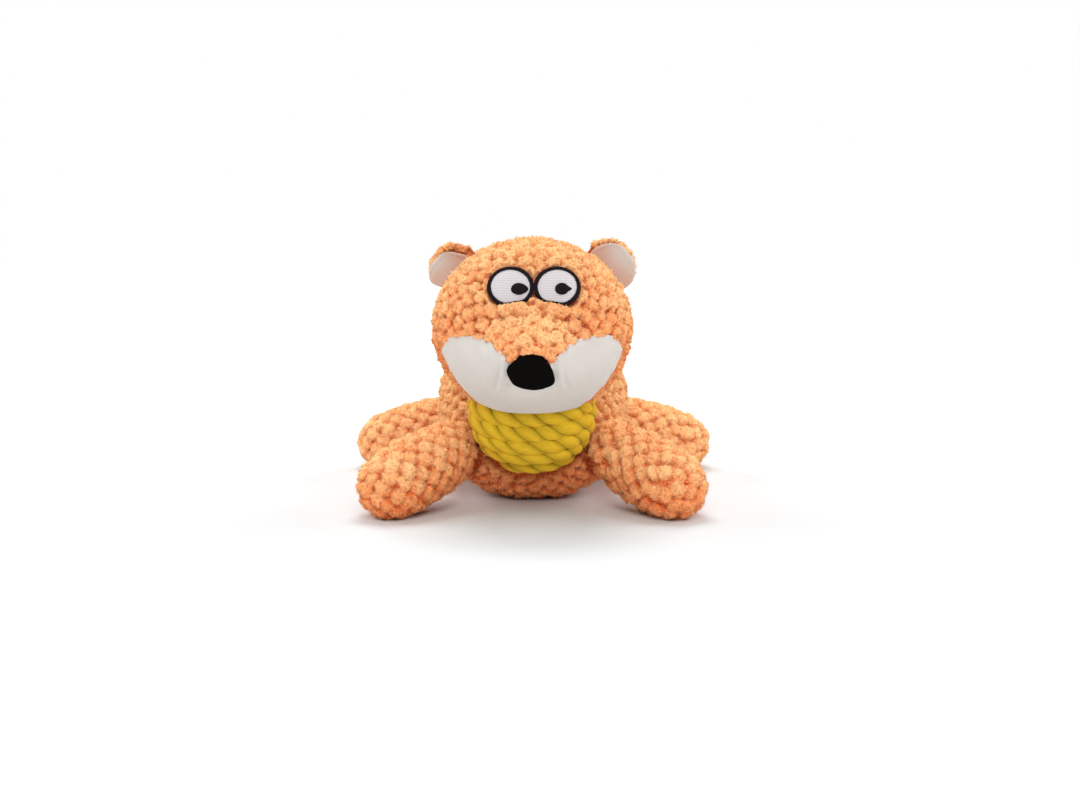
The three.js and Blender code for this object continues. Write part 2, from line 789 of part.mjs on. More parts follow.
// A cupped half round between two depths, in the ear's own frame: its hem turns about X.
function earSheet(front, back) {
  const place = (across, height, face) => {
    const x = 2 * across - 1;
    const depth = face === 0 ? front : back;
    const past = Math.max(0, (height * earTipShare - earBellyShare) / (1 - earBellyShare));
    const narrow = height < earBellyShare
      ? earBaseWidthShare + ((1 - earBaseWidthShare) * height) / earBellyShare
      : Math.sqrt(1 - past ** 2);
    const cup = earCup * (earBaseCupShare + (1 - earBaseCupShare) * height) * (x * narrow) ** 2;
    const hem = height === 0 ? Math.sqrt(earHem ** 2 - depth ** 2) : 0;
    return new THREE.Vector3(
      x * narrow * earHalfWidth,
      depth - cup,
      height * earHeight - hem,
    );
  };
  return thickSheet(earColumns, earRows, place);
}

for (const [side, sign] of sides) {
  const outward = new THREE.Vector3(sign * Math.sin(earTilt), 0, Math.cos(earTilt));
  const across = new THREE.Vector3(Math.cos(earTilt), 0, -sign * Math.sin(earTilt));
  const basis = new THREE.Matrix4().makeBasis(across, new THREE.Vector3(0, 1, 0), outward);
  const root = new THREE.Vector3(
    headCentre.x + sign * headHalfWidth * earRingShare * Math.sin(earRound),
    headCentre.y + earSetback,
    headCentre.z + headHalfHeight * earRingShare * Math.cos(earRound),
  ).addScaledVector(outward, earHem + earSeatGap);
  const ear = carriedBy(head, root, new THREE.Quaternion().setFromRotationMatrix(basis));
  const placed = (geometry) => solidOf(geometry.applyMatrix4(ear.matrixWorld));
  const liningBack = earClothThickness - earHem;
  addPiece(ear, `ear_${side}_back`, placed(earSheet(liningBack + seamGap, earHem)), plush);
  addPiece(ear, `ear_${side}_lining`, placed(earSheet(-earHem, liningBack)), velour);
}

// The origin lies on the floor under the middle of the toy's reach.
const reach = new THREE.Box3().setFromObject(toy, true);
toy.position.y = -(reach.min.y + reach.max.y) / 2;

export default toy;
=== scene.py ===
"""The looks of a stuffed fox toy with a rope neck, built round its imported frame."""

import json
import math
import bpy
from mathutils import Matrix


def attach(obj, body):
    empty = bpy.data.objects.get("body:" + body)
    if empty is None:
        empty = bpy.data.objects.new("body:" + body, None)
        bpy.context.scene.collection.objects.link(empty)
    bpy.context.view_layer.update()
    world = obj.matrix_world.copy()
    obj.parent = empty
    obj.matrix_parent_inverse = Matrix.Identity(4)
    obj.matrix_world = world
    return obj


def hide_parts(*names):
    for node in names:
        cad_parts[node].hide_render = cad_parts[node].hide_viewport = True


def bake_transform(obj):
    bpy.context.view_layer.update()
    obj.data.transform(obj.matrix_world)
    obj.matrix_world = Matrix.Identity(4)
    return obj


bl_info = {
    "name": "Plush fox toy",
    "version": (1, 0, 0),
    "blender": (4, 5, 0),
    "location": "3D View > Sidebar > Fox toy",
    "description": "Builds a stuffed fox toy with a neck of wound rope",
    "category": "Add Mesh",
}

import bmesh
import bpy
import numpy as np
from mathutils import Vector
from mathutils.kdtree import KDTree

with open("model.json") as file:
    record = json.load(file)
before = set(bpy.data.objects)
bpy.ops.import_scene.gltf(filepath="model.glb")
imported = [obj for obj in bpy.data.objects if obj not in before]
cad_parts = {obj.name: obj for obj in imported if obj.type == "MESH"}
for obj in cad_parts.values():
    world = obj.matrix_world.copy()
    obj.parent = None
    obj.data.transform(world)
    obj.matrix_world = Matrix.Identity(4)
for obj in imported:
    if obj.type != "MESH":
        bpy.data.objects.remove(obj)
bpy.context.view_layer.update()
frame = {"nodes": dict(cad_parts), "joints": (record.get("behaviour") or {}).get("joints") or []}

MM = 0.001
JOINTS = {joint["name"]: joint for joint in frame["joints"]}
SIDES = (("left", 1), ("right", -1))


def pivot(name):
    """The place of a joint of the frame, in millimetres."""
    return np.array(JOINTS[name]["pos_m"]) / MM


# Sizes of the solids that the pieces follow, in millimetres and degrees

NECK = pivot("neck_turn")
NECK_LEAN = 11
NECK_RADIUS = 34.2
ROPE_REACH = 30.1
ROPE_STEP = 2 * math.asin(7.7 / (2 * ROPE_REACH))
ROPE_TURNS = 7
ROPE_END_DRAW = 12
ROPE_BEND = 7.2
ROPE_PRESS = 0.27
BALL_RADIUS = 26.7
BALL_FILLING = 24

HEAD = NECK + (0, -19, 46)
HEAD_HALF = np.array((52.5, 46, 47))
SNOUT_LENGTH = 20.5
SNOUT_DROP = 20
SNOUT_SPREAD = 27
SNOUT_SHARPNESS = 4.2
FACE_SEAM_FORWARD = 13
FACE_SEAM_TILT = 20
MUZZLE_SHARES = (
    (0.2, -0.24), (0.32, -0.14), (0.45, -0.07), (0.68, -0.05), (0.8, -0.09), (0.87, -0.18),
    (0.87, -0.26), (0.76, -0.53), (0.57, -0.79), (0.36, -0.98), (0.2, -1.2),
)
EYE_SHIFT = 1
EYE_SPREAD = 11.4
EYE_RISE = 22.3
EYE_HALF = (11.8, 10.2)
# Each pupil's half width, how far it runs on sideways, and how sharply.
PUPILS = {"left": (3.3, 1.6, 16), "right": (3.7, 1.0, 4)}

TORSO_FRONT = NECK[1] - 2
TORSO_LENGTH = 160
TORSO_HALF_WIDTH = 56
TORSO_HEIGHT = 101
TORSO_BLUNTNESS = 2.25
SIDE_SEAM_HEIGHT = 30
TORSO_SHARES = np.array((
    (0, 0, 0.24, 0.24),
    (0.015, 0.38, 0.145, 0.33),
    (0.05, 0.56, 0.075, 0.43),
    (0.1, 0.71, 0.028, 0.53),
    (0.17, 0.84, 0.004, 0.66),
    (0.26, 0.94, 0, 0.8),
    (0.37, 0.99, 0, 0.92),
    (0.5, 1, 0, 0.99),
    (0.63, 0.95, 0, 1),
    (0.75, 0.82, 0.01, 0.96),
    (0.85, 0.66, 0.05, 0.87),
    (0.93, 0.48, 0.13, 0.74),
    (0.98, 0.3, 0.25, 0.59),
    (1, 0, 0.42, 0.42),
))

LEG_RADII = (14.6, 18.2, 17.4)
LEG_LENGTH = 50
LEG_ROOT_HEIGHT = 30
LEG_YAW = {"front": 51.5, "rear": 17}
TAIL_RADII = (9, 13, 7)
TAIL_LENGTH = 42
TAIL_SLOPE = 24
TAIL_SEAM_SHARE = 0.6

EAR_HALF_WIDTH = 14
EAR_HEIGHT = 12.2
EAR_CUP = 6
EAR_TILT = 49

# How deep a cover's stuffing lies, how far feet and belly would reach under the floor, and the
# height at which their plush is pressed flat.
COVER_DEPTH = 6
FLOOR_PRESS = 0.5
LOWEST = 0.15

# How far the covers lie inside the solids, and the distances between their points.
COVER_INSET = 0.2
LIMB_STEP = 0.7
TORSO_STEP = 1.0

# The nose's height over its edge, and how deep that edge is sunk in the plush.
NOSE_PUFF = 5.0
NOSE_SUNK = 0.8

# The eyes' edges inside their outline, and the rows of thread and stitches.
WHITE_INSET = 1.5
RING_INSET = 1.2
RING_WIDTH = 2.3
RING_THICKNESS = 0.8
WHITE_ROWS = 1.2
PUPIL_ROWS = 0.5

# Loose fibres on a square metre of plush, and the radius of one at its root.
FIBRE_DENSITY = 1000000.0
FIBRE_RADIUS = 0.3

# A tuft's area as a share of the square of its pitch.
TUFT_AREA_SHARE = 0.9

# Seeds of the random draws
HEAD_SEED = 11
EAR_SEED = 31
TORSO_SEED = 41
LEG_SEED = 61
TAIL_SEED = 121


def linear(hexadecimal):
    """An sRGB hex colour as linear red, green and blue."""
    parts = [int(hexadecimal[i:i + 2], 16) / 255 for i in (0, 2, 4)]
    return [p / 12.92 if p <= 0.04045 else ((p + 0.055) / 1.055) ** 2.4 for p in parts]


def length_setting(name, description, default):
    return bpy.props.FloatProperty(
        name=name, description=description, default=default, min=0, subtype="DISTANCE"
    )


def colour_setting(name, description, hexadecimal):
    return bpy.props.FloatVectorProperty(
        name=name, description=description, default=linear(hexadecimal), size=3,
        subtype="COLOR", min=0, max=1,
    )


class FoxSizes(bpy.types.PropertyGroup):
    """Sizes of the toy's cloth, thread and rope."""

    bump_pitch: length_setting("Bump pitch", "From one bump of the plush to the next", 0.0076)
    bump_height: length_setting("Bump height", "How far the plush's bumps stand up", 0.005)
    leg_bump_pitch: length_setting("Leg bump pitch", "The same on the legs", 0.0082)
    fibre_length: length_setting("Fibre length", "Loose fibres that stand off the plush", 0.0013)
    rope_diameter: length_setting("Rope diameter", "Thickness of the neck's rope", 0.0106)
    rope_lay: length_setting("Rope lay", "Along the rope, one full turn of a strand", 0.022)
    stitch_pitch: length_setting("Stitch pitch", "From one satin stitch to the next", 0.00045)


class FoxColours(bpy.types.PropertyGroup):
    """Colours of the toy's cloth, thread and rope."""

    plush_tip: colour_setting("Plush tips", "Ends of the plush's pile", "fbc083")
    # The roots' colour is also the painted shade in the gaps between bumps.
    plush_root: colour_setting("Plush roots", "Between the plush's bumps", "d85414")
    velour: colour_setting("Velour", "Muzzle, ear linings and tail tip", "cfcac4")
    black_velour: colour_setting("Nose velour", "The nose", "0e0c0b")
    white_thread: colour_setting("White thread", "The eyes' whites", "d2cbcd")
    black_thread: colour_setting("Black thread", "The eyes' rings and pupils", "1a161a")
    rope: colour_setting("Rope", "The neck's rope", "e6bb2a")
    cloth: colour_setting("Neck cloth", "The cloth under the rope", "d8cfc2")
    filling: colour_setting("Filling", "Loose fibre inside", "f2f2ee")
    plastic: colour_setting("Squeaker", "The squeaker's drum and reed", "e8e8e0")


# Node trees

# Nodes that are used often, by a short word: their type, settings, inputs and output. Any other
# word is an operation of the maths node.
OFTEN = {
    "mix": ("ShaderNodeMix", {"data_type": "RGBA"}, (0, 6, 7), 2),
    "range": (
        "ShaderNodeMapRange", {}, ("Value", "From Min", "From Max", "To Min", "To Max"), "Result",
    ),
    "noise": ("ShaderNodeTexNoise", {}, ("Vector", "Scale", "Detail", "Roughness"), "Fac"),
    "bump": ("ShaderNodeBump", {}, ("Height", "Distance", "Strength"), "Normal"),
    "vector": ("ShaderNodeCombineXYZ", {}, ("X", "Y", "Z"), 0),
    "random": ("FunctionNodeRandomValue", {"data_type": "FLOAT"}, ("Min", "Max", "Seed"), 1),
    "curve": ("GeometryNodeMeshToCurve", {}, ("Mesh",), 0),
    "even": ("GeometryNodeResampleCurve", {"mode": "LENGTH"}, ("Curve", "Length"), 0),
    "real": ("GeometryNodeRealizeInstances", {}, ("Geometry",), 0),
    "smooth": ("GeometryNodeSetShadeSmooth", {}, ("Geometry",), 0),
    "dress": ("GeometryNodeSetMaterial", {}, ("Geometry", "Material"), 0),
}


def add(tree, kind, settings=None, inputs=None):
    """Adds a node, with its settings and with values or links for its inputs."""
    node = tree.nodes.new(kind)
    for name, value in (settings or {}).items():
        setattr(node, name, value)
    for name, value in (inputs or {}).items():
        if isinstance(value, bpy.types.NodeSocket):
            tree.links.new(value, node.inputs[name])
        else:
            node.inputs[name].default_value = value
    return node


def adder(tree):
    """A function that adds a node to this tree by its short word, and gives its output."""
    def use(word, *values):
        maths = ("ShaderNodeMath", {"operation": word}, (0, 1), 0)
        kind, settings, sockets, output = OFTEN.get(word, maths)
        return add(tree, kind, settings, dict(zip(sockets, values))).outputs[output]

    return use


def new_material(name):
    """A new material, its empty tree, the tree's adder and the piece's own coordinates."""
    material = bpy.data.materials.new(name)
    material.use_nodes = True
    tree = material.node_tree
    tree.nodes.clear()
    return material, tree, adder(tree), add(tree, "ShaderNodeTexCoord").outputs["Object"]


def finished(material, inputs):
    """The material, ended with a shader that has these inputs."""
    tree = material.node_tree
    shader = add(tree, "ShaderNodeBsdfPrincipled", inputs=inputs)
    add(tree, "ShaderNodeOutputMaterial", inputs={"Surface": shader.outputs[0]})
    return material


def new_group(name, numbers):
    """A new geometry tree whose inputs are a shape, named numbers and a material."""
    tree = bpy.data.node_groups.new(name, "GeometryNodeTree")
    socket = tree.interface.new_socket
    socket("Geometry", in_out="INPUT", socket_type="NodeSocketGeometry")
    for word, default in numbers:
        socket(word, in_out="INPUT", socket_type="NodeSocketFloat").default_value = default
    socket("Material", in_out="INPUT", socket_type="NodeSocketMaterial")
    socket("Geometry", in_out="OUTPUT", socket_type="NodeSocketGeometry")
    return tree, adder(tree), add(tree, "NodeGroupInput").outputs


def ended(tree, geometry):
    """The tree, ended with its output."""
    add(tree, "NodeGroupOutput", inputs={"Geometry": geometry})
    return tree


def per(size):
    """The scale of a noise whose lumps have this size in millimetres."""
    return 1 / (size * MM)


def layered(use, colour, layers):
    """A colour under layers: each has a value, its range and shares, and its own colour."""
    for value, shares, over in layers:
        colour = use("mix", use("range", value, *shares), colour, over)
    return colour


def rgba(colour, strength=1.0):
    """Red, green, blue and alpha, from a linear colour or an sRGB hex colour."""
    if isinstance(colour, str):
        colour = linear(colour)
    return (*[c * strength for c in colour], 1)


def plush_material(name, tip, root):
    # Popcorn plush: knitted polyester whose crimped pile is set in round tufts. The tips are
    # pale with light caught in the fibres, and the gaps between tufts are painted in the roots'
    # deep, saturated colour as painted shade. Tufts that face down get more painted shade and
    # those that face up a painted highlight; the tufts' colour also differs a little at random.
    material, tree, use, place = new_material(name)
    pile, tuft, fibre, tone = (
        add(tree, "ShaderNodeAttribute", {"attribute_name": word}).outputs["Fac"]
        for word in ("pile", "tuft", "fibre", "tone")
    )
    curls = use("noise", place, per(1.5), 3.0, 0.6)
    strands = use("noise", place, per(0.45), 2.0)
    colour = layered(use, rgba(root), (
        # Painted shade: the roots' colour in the gaps between tufts, where the pile lies low.
        (pile, (0.3, 0.95, 0.0, 1.0), rgba(tip)),
        # Painted highlights: paler specks where the curls rise.
        (curls, (0.48, 0.7, 0.0, 0.8), rgba(tip, 1.35)),
        (strands, (0.28, 0.5, 0.55, 0.0), rgba(root, 1.05)),
        # Painted shade on tufts that face down, with a random tone for each tuft.
        (tuft, (0.0, 1.0, 0.0, 0.6), rgba(root, 1.15)),
        # A painted highlight on tufts that face up.
        (tuft, (0.4, 0.0, 0.0, 0.25), rgba("ffe2a8")),
        (tone, (0.1, 1.0, 0.0, 0.8), rgba("ffe6c0")),
        (tone, (-0.1, -1.0, 0.0, 0.7), rgba("cc5214")),
        # The loose fibres' tips are painted a little paler, as light caught in them.
        (fibre, (0.0, 1.0, 0.0, 0.2), rgba(tip, 1.1)),
    ))
    return finished(material, {
        "Base Color": colour, "Roughness": 0.95, "Specular IOR Level": 0.08,
        "Sheen Weight": 0.2, "Sheen Roughness": 0.6, "Sheen Tint": rgba("ffe08a"),
        "Normal": use("bump", curls, 0.0006, 0.9),
    })


def velour_material(name, colour, sheen, relief_depth=0.00012, shine=0.1):
    # Velour: short cut pile on a knitted back. It looks smooth and soft, with a faint grain and
    # a pale edge where the pile is seen from the side.
    material, tree, use, place = new_material(name)
    grain = use("noise", place, per(0.45), 2.0)
    cloud = use("noise", place, per(14), 2.0)
    painted_bounce_and_shade = add(tree, "ShaderNodeAttribute", {"attribute_name": "painted_bounce_and_shade"}).outputs["Fac"]
    surface_colour = layered(use, rgba(colour, 0.94), (
        (cloud, (0.3, 0.7, 0.0, 1.0), rgba(colour)),
        (grain, (0.3, 0.6, 0.25, 0.0), rgba(colour, 0.86)),
        # Painted shade and painted orange light bounced from the plush, on ear linings near their
        # hem.
        (painted_bounce_and_shade, (0.0, 1.0, 0.0, 1.0), rgba("c98a68")),
    ))
    return finished(material, {
        "Base Color": surface_colour, "Roughness": 0.9, "Specular IOR Level": shine,
        "Sheen Weight": sheen, "Sheen Roughness": 0.4,
        "Normal": use("bump", grain, relief_depth, 0.6),
    })


def thread_material(name, colour, gloss):
    # Rayon embroidery thread: glossy filaments laid side by side, with painted shade between its
    # rows of stitches.
    material, tree, use, place = new_material(name)
    ridge = add(tree, "ShaderNodeAttribute", {"attribute_name": "pile"}).outputs["Fac"]
    fine = use("noise", place, per(0.3), 2.0)
    surface_colour = layered(use, rgba(colour), ((fine, (0.3, 0.7, 0.2, 0.0), rgba(colour, 0.7)),))
    return finished(material, {
        "Base Color": use("mix", ridge, rgba(colour, 0.5), surface_colour), "Roughness": gloss,
        "Specular IOR Level": 0.03,
    })


def rope_material(name, colour):
    # Laid cotton rope: thick strands of soft spun yarn. The yarns show as fine streaks that lie
    # along the rope, and painted shade darkens each strand towards the grooves between strands.
    material, tree, use, place = new_material(name)
    depth = add(tree, "ShaderNodeAttribute", {"attribute_name": "pile"}).outputs["Fac"]
    laid = add(tree, "ShaderNodeMapping", inputs={
        "Vector": add(tree, "ShaderNodeUVMap", {"uv_map": "UVMap"}).outputs["UV"],
        "Scale": (44, 210, 1),
    })
    streaks = use("noise", laid.outputs["Vector"], 1.0, 3.0, 0.6)
    fuzz = use("noise", place, per(0.5), 2.0)
    colour = layered(use, rgba(colour, 0.4), (
        # Painted shade: each strand darker towards the grooves between strands.
        (depth, (0.1, 0.85, 0.0, 1.0), rgba(colour)),
        (streaks, (0.35, 0.65, 0.5, 0.0), rgba(colour, 0.6)),
        (fuzz, (0.4, 0.8, 0.0, 0.4), rgba("ecce48")),
    ))
    return finished(material, {
        "Base Color": colour, "Roughness": 0.9, "Specular IOR Level": 0.04,
        "Sheen Weight": 0.03, "Sheen Roughness": 0.5, "Normal": use("bump", streaks, 0.0003, 0.7),
    })


def cloth_material(name, colour):
    # Plain woven cotton, over and under. A wave scale of 314 sets the threads 1 mm apart.
    material, tree, use, place = new_material(name)
    threads = [
        add(tree, "ShaderNodeTexWave", {"wave_type": "BANDS", "bands_direction": way}, {
            "Vector": place, "Scale": 314.0, "Distortion": 0.3,
        }).outputs["Fac"]
        for way in ("X", "Z")
    ]
    weave = use("MULTIPLY", *threads)
    return finished(material, {
        "Base Color": use("mix", weave, rgba(colour, 0.8), rgba(colour)), "Roughness": 0.9,
        "Normal": use("bump", weave, 0.0001, 0.5),
    })


def plastic_material(name, colour):
    # Soft moulded vinyl: nearly smooth, with the faint grain of the mould.
    material, tree, use, place = new_material(name)
    grain = use("noise", place, per(0.6), 2.0)
    colour = layered(use, rgba(colour), ((grain, (0.3, 0.7, 0.15, 0.0), rgba(colour, 0.9)),))
    return finished(material, {
        "Base Color": colour, "Roughness": 0.42, "IOR": 1.53,
        "Normal": use("bump", grain, 0.00005, 0.3),
    })


def finish_named(name):
    """The material of that name, made when it is first asked for.

    The names differ from those of the frame's plain materials.
    """
    if name in bpy.data.materials:
        return bpy.data.materials[name]
    colours = bpy.context.scene.fox_colours
    maker, *looks = {
        "popcorn_plush": (plush_material, colours.plush_tip, colours.plush_root),
        "cut_velour": (velour_material, colours.velour, 0.1),
        "nose_velour": (velour_material, colours.black_velour, 0.01, 0.0003, 0.0),
        "rayon_white": (thread_material, colours.white_thread, 0.45),
        "rayon_black": (thread_material, colours.black_thread, 0.65),
        "laid_cotton": (rope_material, colours.rope),
        "woven_cotton": (cloth_material, colours.cloth),
        "loose_fibre": (velour_material, colours.filling, 0.3, 0.0006),
        "soft_vinyl": (plastic_material, colours.plastic),
    }[name]
    return maker(name, *looks)


# Shapes in numbers

# The most points of a surface by which its tufts settle. More would only take longer.
SETTLING_POINTS = 16000


def fade(low, high, value):
    """0 below low, 1 above high, and a smooth step between."""
    share = np.clip((value - low) / (high - low), 0, 1)
    return share * share * (3 - 2 * share)


def lumps(points, size, seed):
    """Smooth random values from -1 to 1 that change over about a size."""
    cell = np.floor(points / size).astype(np.int64)
    part = points / size - cell
    part = part ** 3 * (part * (part * 6 - 15) + 10)
    total = np.zeros(len(points))
    for corner in np.ndindex(2, 2, 2):
        at = cell + np.array(corner)
        mix = at[:, 0] * 73856093 ^ at[:, 1] * 19349663 ^ at[:, 2] * 83492791 ^ seed * 2654435
        mix = ((mix ^ (mix >> 13)) * 1274126177) & 0xFFFFFFFF
        value = ((mix ^ (mix >> 15)) & 0xFFFF) / 32767.5 - 1
        total += value * np.prod(np.where(corner, part, 1 - part), axis=1)
    return total


def lumps_of(points, size, seed):
    """A smooth random step for each point, up to 1 along each axis."""
    return np.stack([lumps(points, size, seed + axis) for axis in range(3)], axis=1)


def run_of(steps):
    """How far along a line each of its points lies, from the steps between them."""
    return np.concatenate(((0,), np.cumsum(steps)))


def ring_turns(around, number):
    """The angles of points round a ring, half a step further on in every second ring."""
    return 2 * math.pi * (np.arange(around) + number % 2 / 2) / around


def unit(vectors):
    return vectors / np.maximum(np.linalg.norm(vectors, axis=-1, keepdims=True), 1e-9)


def triangles_of(faces):
    """The faces' triangles: quads are cut in two."""
    faces = np.asarray(faces)
    if faces.shape[1] == 3:
        return faces
    return np.concatenate((faces[:, [0, 1, 2]], faces[:, [0, 2, 3]]))


def surface_of(points, faces):
    """The unit normal and the share of area at each point."""
    threes = triangles_of(faces)
    a, b, c = (points[threes[:, i]] for i in range(3))
    across = np.cross(b - a, c - a)
    normal = np.zeros_like(points)
    area = np.zeros(len(points))
    for i in range(3):
        for axis in range(3):
            normal[:, axis] += np.bincount(threes[:, i], across[:, axis], len(points))
        area += np.bincount(threes[:, i], np.linalg.norm(across, axis=1) / 6, len(points))
    return unit(normal), area


def ball_grid(level):
    """Points and faces of an even ball of radius 1."""
    grid = bmesh.new()
    bmesh.ops.create_icosphere(grid, subdivisions=level, radius=1)
    points = np.array([v.co for v in grid.verts])
    faces = np.array([[v.index for v in f.verts] for f in grid.faces])
    grid.free()
    return unit(points), faces


def ring_faces(rings, around, closed=True):
    """Quads between rings of points, joined round each ring where it is closed."""
    row = np.arange(around if closed else around - 1)
    following = (row + 1) % around
    faces = []
    for ring in range(rings - 1):
        here = ring * around
        faces.append(np.stack((
            here + row, here + following, here + around + following, here + around + row,
        ), axis=1))
    return np.concatenate(faces)


def tree_of(points):
    tree = KDTree(len(points))
    for index, point in enumerate(points):
        tree.insert(point, index)
    tree.balance()
    return tree


def settled(centres, points, area, rounds, seed):
    """Centres moved a few times to the middle of the points that are nearest to them."""
    if len(points) > SETTLING_POINTS:
        kept = np.random.default_rng(seed).choice(len(points), SETTLING_POINTS, replace=False)
        points, area = points[kept], area[kept]
    count = len(centres)
    for _ in range(rounds):
        tree = tree_of(centres)
        owner = np.array([tree.find(point)[1] for point in points])
        weight = np.maximum(np.bincount(owner, area, count), 1e-9)
        moved = [np.bincount(owner, area * points[:, axis], count) / weight for axis in range(3)]
        filled = np.bincount(owner, minlength=count) > 0
        centres = np.where(filled[:, None], np.stack(moved, axis=1), centres)
    return centres


def spiral(count):
    """Unit directions spread evenly on a ball, wound round the Y axis."""
    number = np.arange(count) + 0.5
    along = 2 * number / count - 1
    away = np.sqrt(1 - along ** 2)
    turn = number * math.pi * (3 - math.sqrt(5))
    return np.stack((away * np.cos(turn), along, away * np.sin(turn)), axis=1)


def tufted(points, faces, centres, pitch, height, keep, seed, merged=0.3, ragged=1.0, lift=0.0):
    """A surface raised into tufts: its places, how high each lies, and its tuft's random tone
    with painted shade added where the surface faces down.

    The tops of the tufts lie about on the given surface. Where keep is below 1 they are lower.
    Where merged is 1 neighbours run together, and only the pits where three meet are deep.
    """
    normal, _ = surface_of(points, faces)
    warp = lumps_of(points, 3.3, seed)
    tree = tree_of(centres)
    found = [tree.find_n(point, 3) for point in points + 0.75 * warp]
    away = np.array([[one[2] for one in near] for near in found])
    owner = np.array([near[0][1] for near in found])
    chance = np.random.default_rng(seed + 5)
    # Painted shade: tufts that face down get more of the roots' colour; each tuft also gets a
    # random tone.
    shade = 0.3 * chance.random(len(centres))[owner] + 0.7 * (1 - fade(-0.8, 0.7, normal[:, 2]))
    reach = 0.61 * pitch * (0.92 + 0.16 * chance.random(len(centres))[owner])
    dome = np.sqrt(1 - np.minimum(away[:, 0] / reach, 0.995) ** 2)
    together = fade(0.0, 0.5, (away[:, 2] - away[:, 0]) / pitch)
    own = 0.9 + 0.2 * chance.random(len(centres))[owner]
    curls = 0.45 * lumps(points, 2.0, seed + 6) + 0.5 * lumps(points, 1.1, seed + 7)
    level = (dome * (1 - merged) + together * merged) * own * keep
    raised = np.maximum(height * (level - 1), -0.8 * height) + 0.6 + lift
    raised = raised + ragged * curls * (0.4 + 0.6 * keep)
    # The pile's level also sets the painted shade in the gaps between tufts.
    pile = np.clip(level + 0.2 * curls, 0, 1)
    return points + normal * raised[:, None], pile, shade


def pressed(points):
    """Points that would pass under the floor are pressed flat on it."""
    return np.column_stack((points[:, :2], np.maximum(points[:, 2], LOWEST)))


def linked(name, data):
    """A new object of the scene with this data."""
    made = bpy.data.objects.new(name, data)
    bpy.context.scene.collection.objects.link(made)
    return made


def piece(name, points, faces, finish, values=None):
    """A new object from points in millimetres, with values at its points by name."""
    mesh = bpy.data.meshes.new(name)
    mesh.from_pydata((np.asarray(points) * MM).tolist(), [], np.asarray(faces).tolist())
    for label, amounts in (values or {}).items():
        attribute = mesh.attributes.new(label, "FLOAT", "POINT")
        attribute.data.foreach_set("value", np.asarray(amounts, np.float32))
    mesh.shade_smooth()
    mesh.materials.append(finish_named(finish))
    mesh.update()
    return linked(name, mesh)


def stands_for(made, node, slot, body=None):
    """Hides the frame's part that a piece stands for, and hangs the piece on its body if given.

    The slot is not used.
    """
    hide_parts(node)
    if body:
        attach(made, body)


def part_of(points, faces, kept, *values):
    """The faces whose points are all kept, with their points and values renumbered."""
    faces = faces[kept[faces].all(axis=1)]
    used = np.unique(faces)
    number = np.zeros(len(points), int)
    number[used] = np.arange(len(used))
    return (points[used], number[faces], *[v[used] for v in values])


def outline_distance(across, up, outline):
    """How far points lie inside a closed outline, and the direction to its nearest place."""
    start = np.asarray(outline)
    finish = np.roll(start, -1, axis=0)
    best = np.full(len(across), 1e9)
    way = np.zeros((len(across), 2))
    inside = np.zeros(len(across), bool)
    for (x0, z0), (x1, z1) in zip(start, finish):
        dx, dz = x1 - x0, z1 - z0
        share = np.clip(((across - x0) * dx + (up - z0) * dz) / (dx * dx + dz * dz), 0, 1)
        gap_x, gap_z = across - x0 - share * dx, up - z0 - share * dz
        apart = np.hypot(gap_x, gap_z)
        closer = apart < best
        best = np.where(closer, apart, best)
        way[closer] = np.stack((gap_x, gap_z), axis=1)[closer]
        if z1 != z0:
            crossing = (up < z0) != (up < z1)
            inside ^= crossing & (across < x0 + (up - z0) * dx / dz)
    return np.where(inside, best, -best), unit(way)


def rounded(corners, steps=6):
    """A closed outline through corners, without its corners."""
    points = np.asarray(corners, float)
    before, after, later = (np.roll(points, -i, axis=0) for i in (-1, 1, 2))
    curve = []
    for share in np.arange(steps) / steps:
        curve.append(0.5 * (
            2 * points + (after - before) * share
            + (2 * before - 5 * points + 4 * after - later) * share ** 2
            + (3 * points - before - 3 * after + later) * share ** 3
        ))
    return np.stack(curve, axis=1).reshape(-1, 2)


def through(rows, at):
    """Values at places between rows of numbers, on smooth curves through the rows."""
    padded = np.vstack((2 * rows[0] - rows[1], rows, 2 * rows[-1] - rows[-2]))
    index = np.clip(np.floor(at).astype(int), 0, len(rows) - 2)
    share = (at - index)[:, None]
    p0, p1, p2, p3 = (padded[index + i] for i in range(4))
    return 0.5 * (
        2 * p1 + (p2 - p0) * share + (2 * p0 - 5 * p1 + 4 * p2 - p3) * share ** 2
        + (3 * p1 - p0 - 3 * p2 + p3) * share ** 3
    )


# Limbs


def limb_way(kind, sign):
    """The direction in which a leg points."""
    yaw = math.radians(LEG_YAW[kind])
    drop = math.asin((LEG_ROOT_HEIGHT - LEG_RADII[2] + FLOOR_PRESS) / LEG_LENGTH)
    return np.array((
        sign * math.cos(yaw) * math.cos(drop), -math.sin(yaw) * math.cos(drop), -math.sin(drop),
    ))


def limb_radius(radii, length, height):
    """A limb's radius at heights over its root, root and end being round."""
    root, middle, end = radii
    along = np.clip(height / length, 0, 1)
    swell = 2 * middle - (root + end) / 2
    body = root * (1 - along) ** 2 + 2 * swell * along * (1 - along) + end * along ** 2
    foot = np.sqrt(np.maximum(root ** 2 - np.minimum(height, 0) ** 2, 0))
    tip = np.sqrt(np.maximum(end ** 2 - np.maximum(height - length, 0) ** 2, 0))
    past = np.clip((height - length) / end, 0, 1)
    tip = tip + 2 * (end - swell) * end / length * past * (1 - past) ** 1.5
    return np.where(height < 0, foot, np.where(height > length, tip, body))


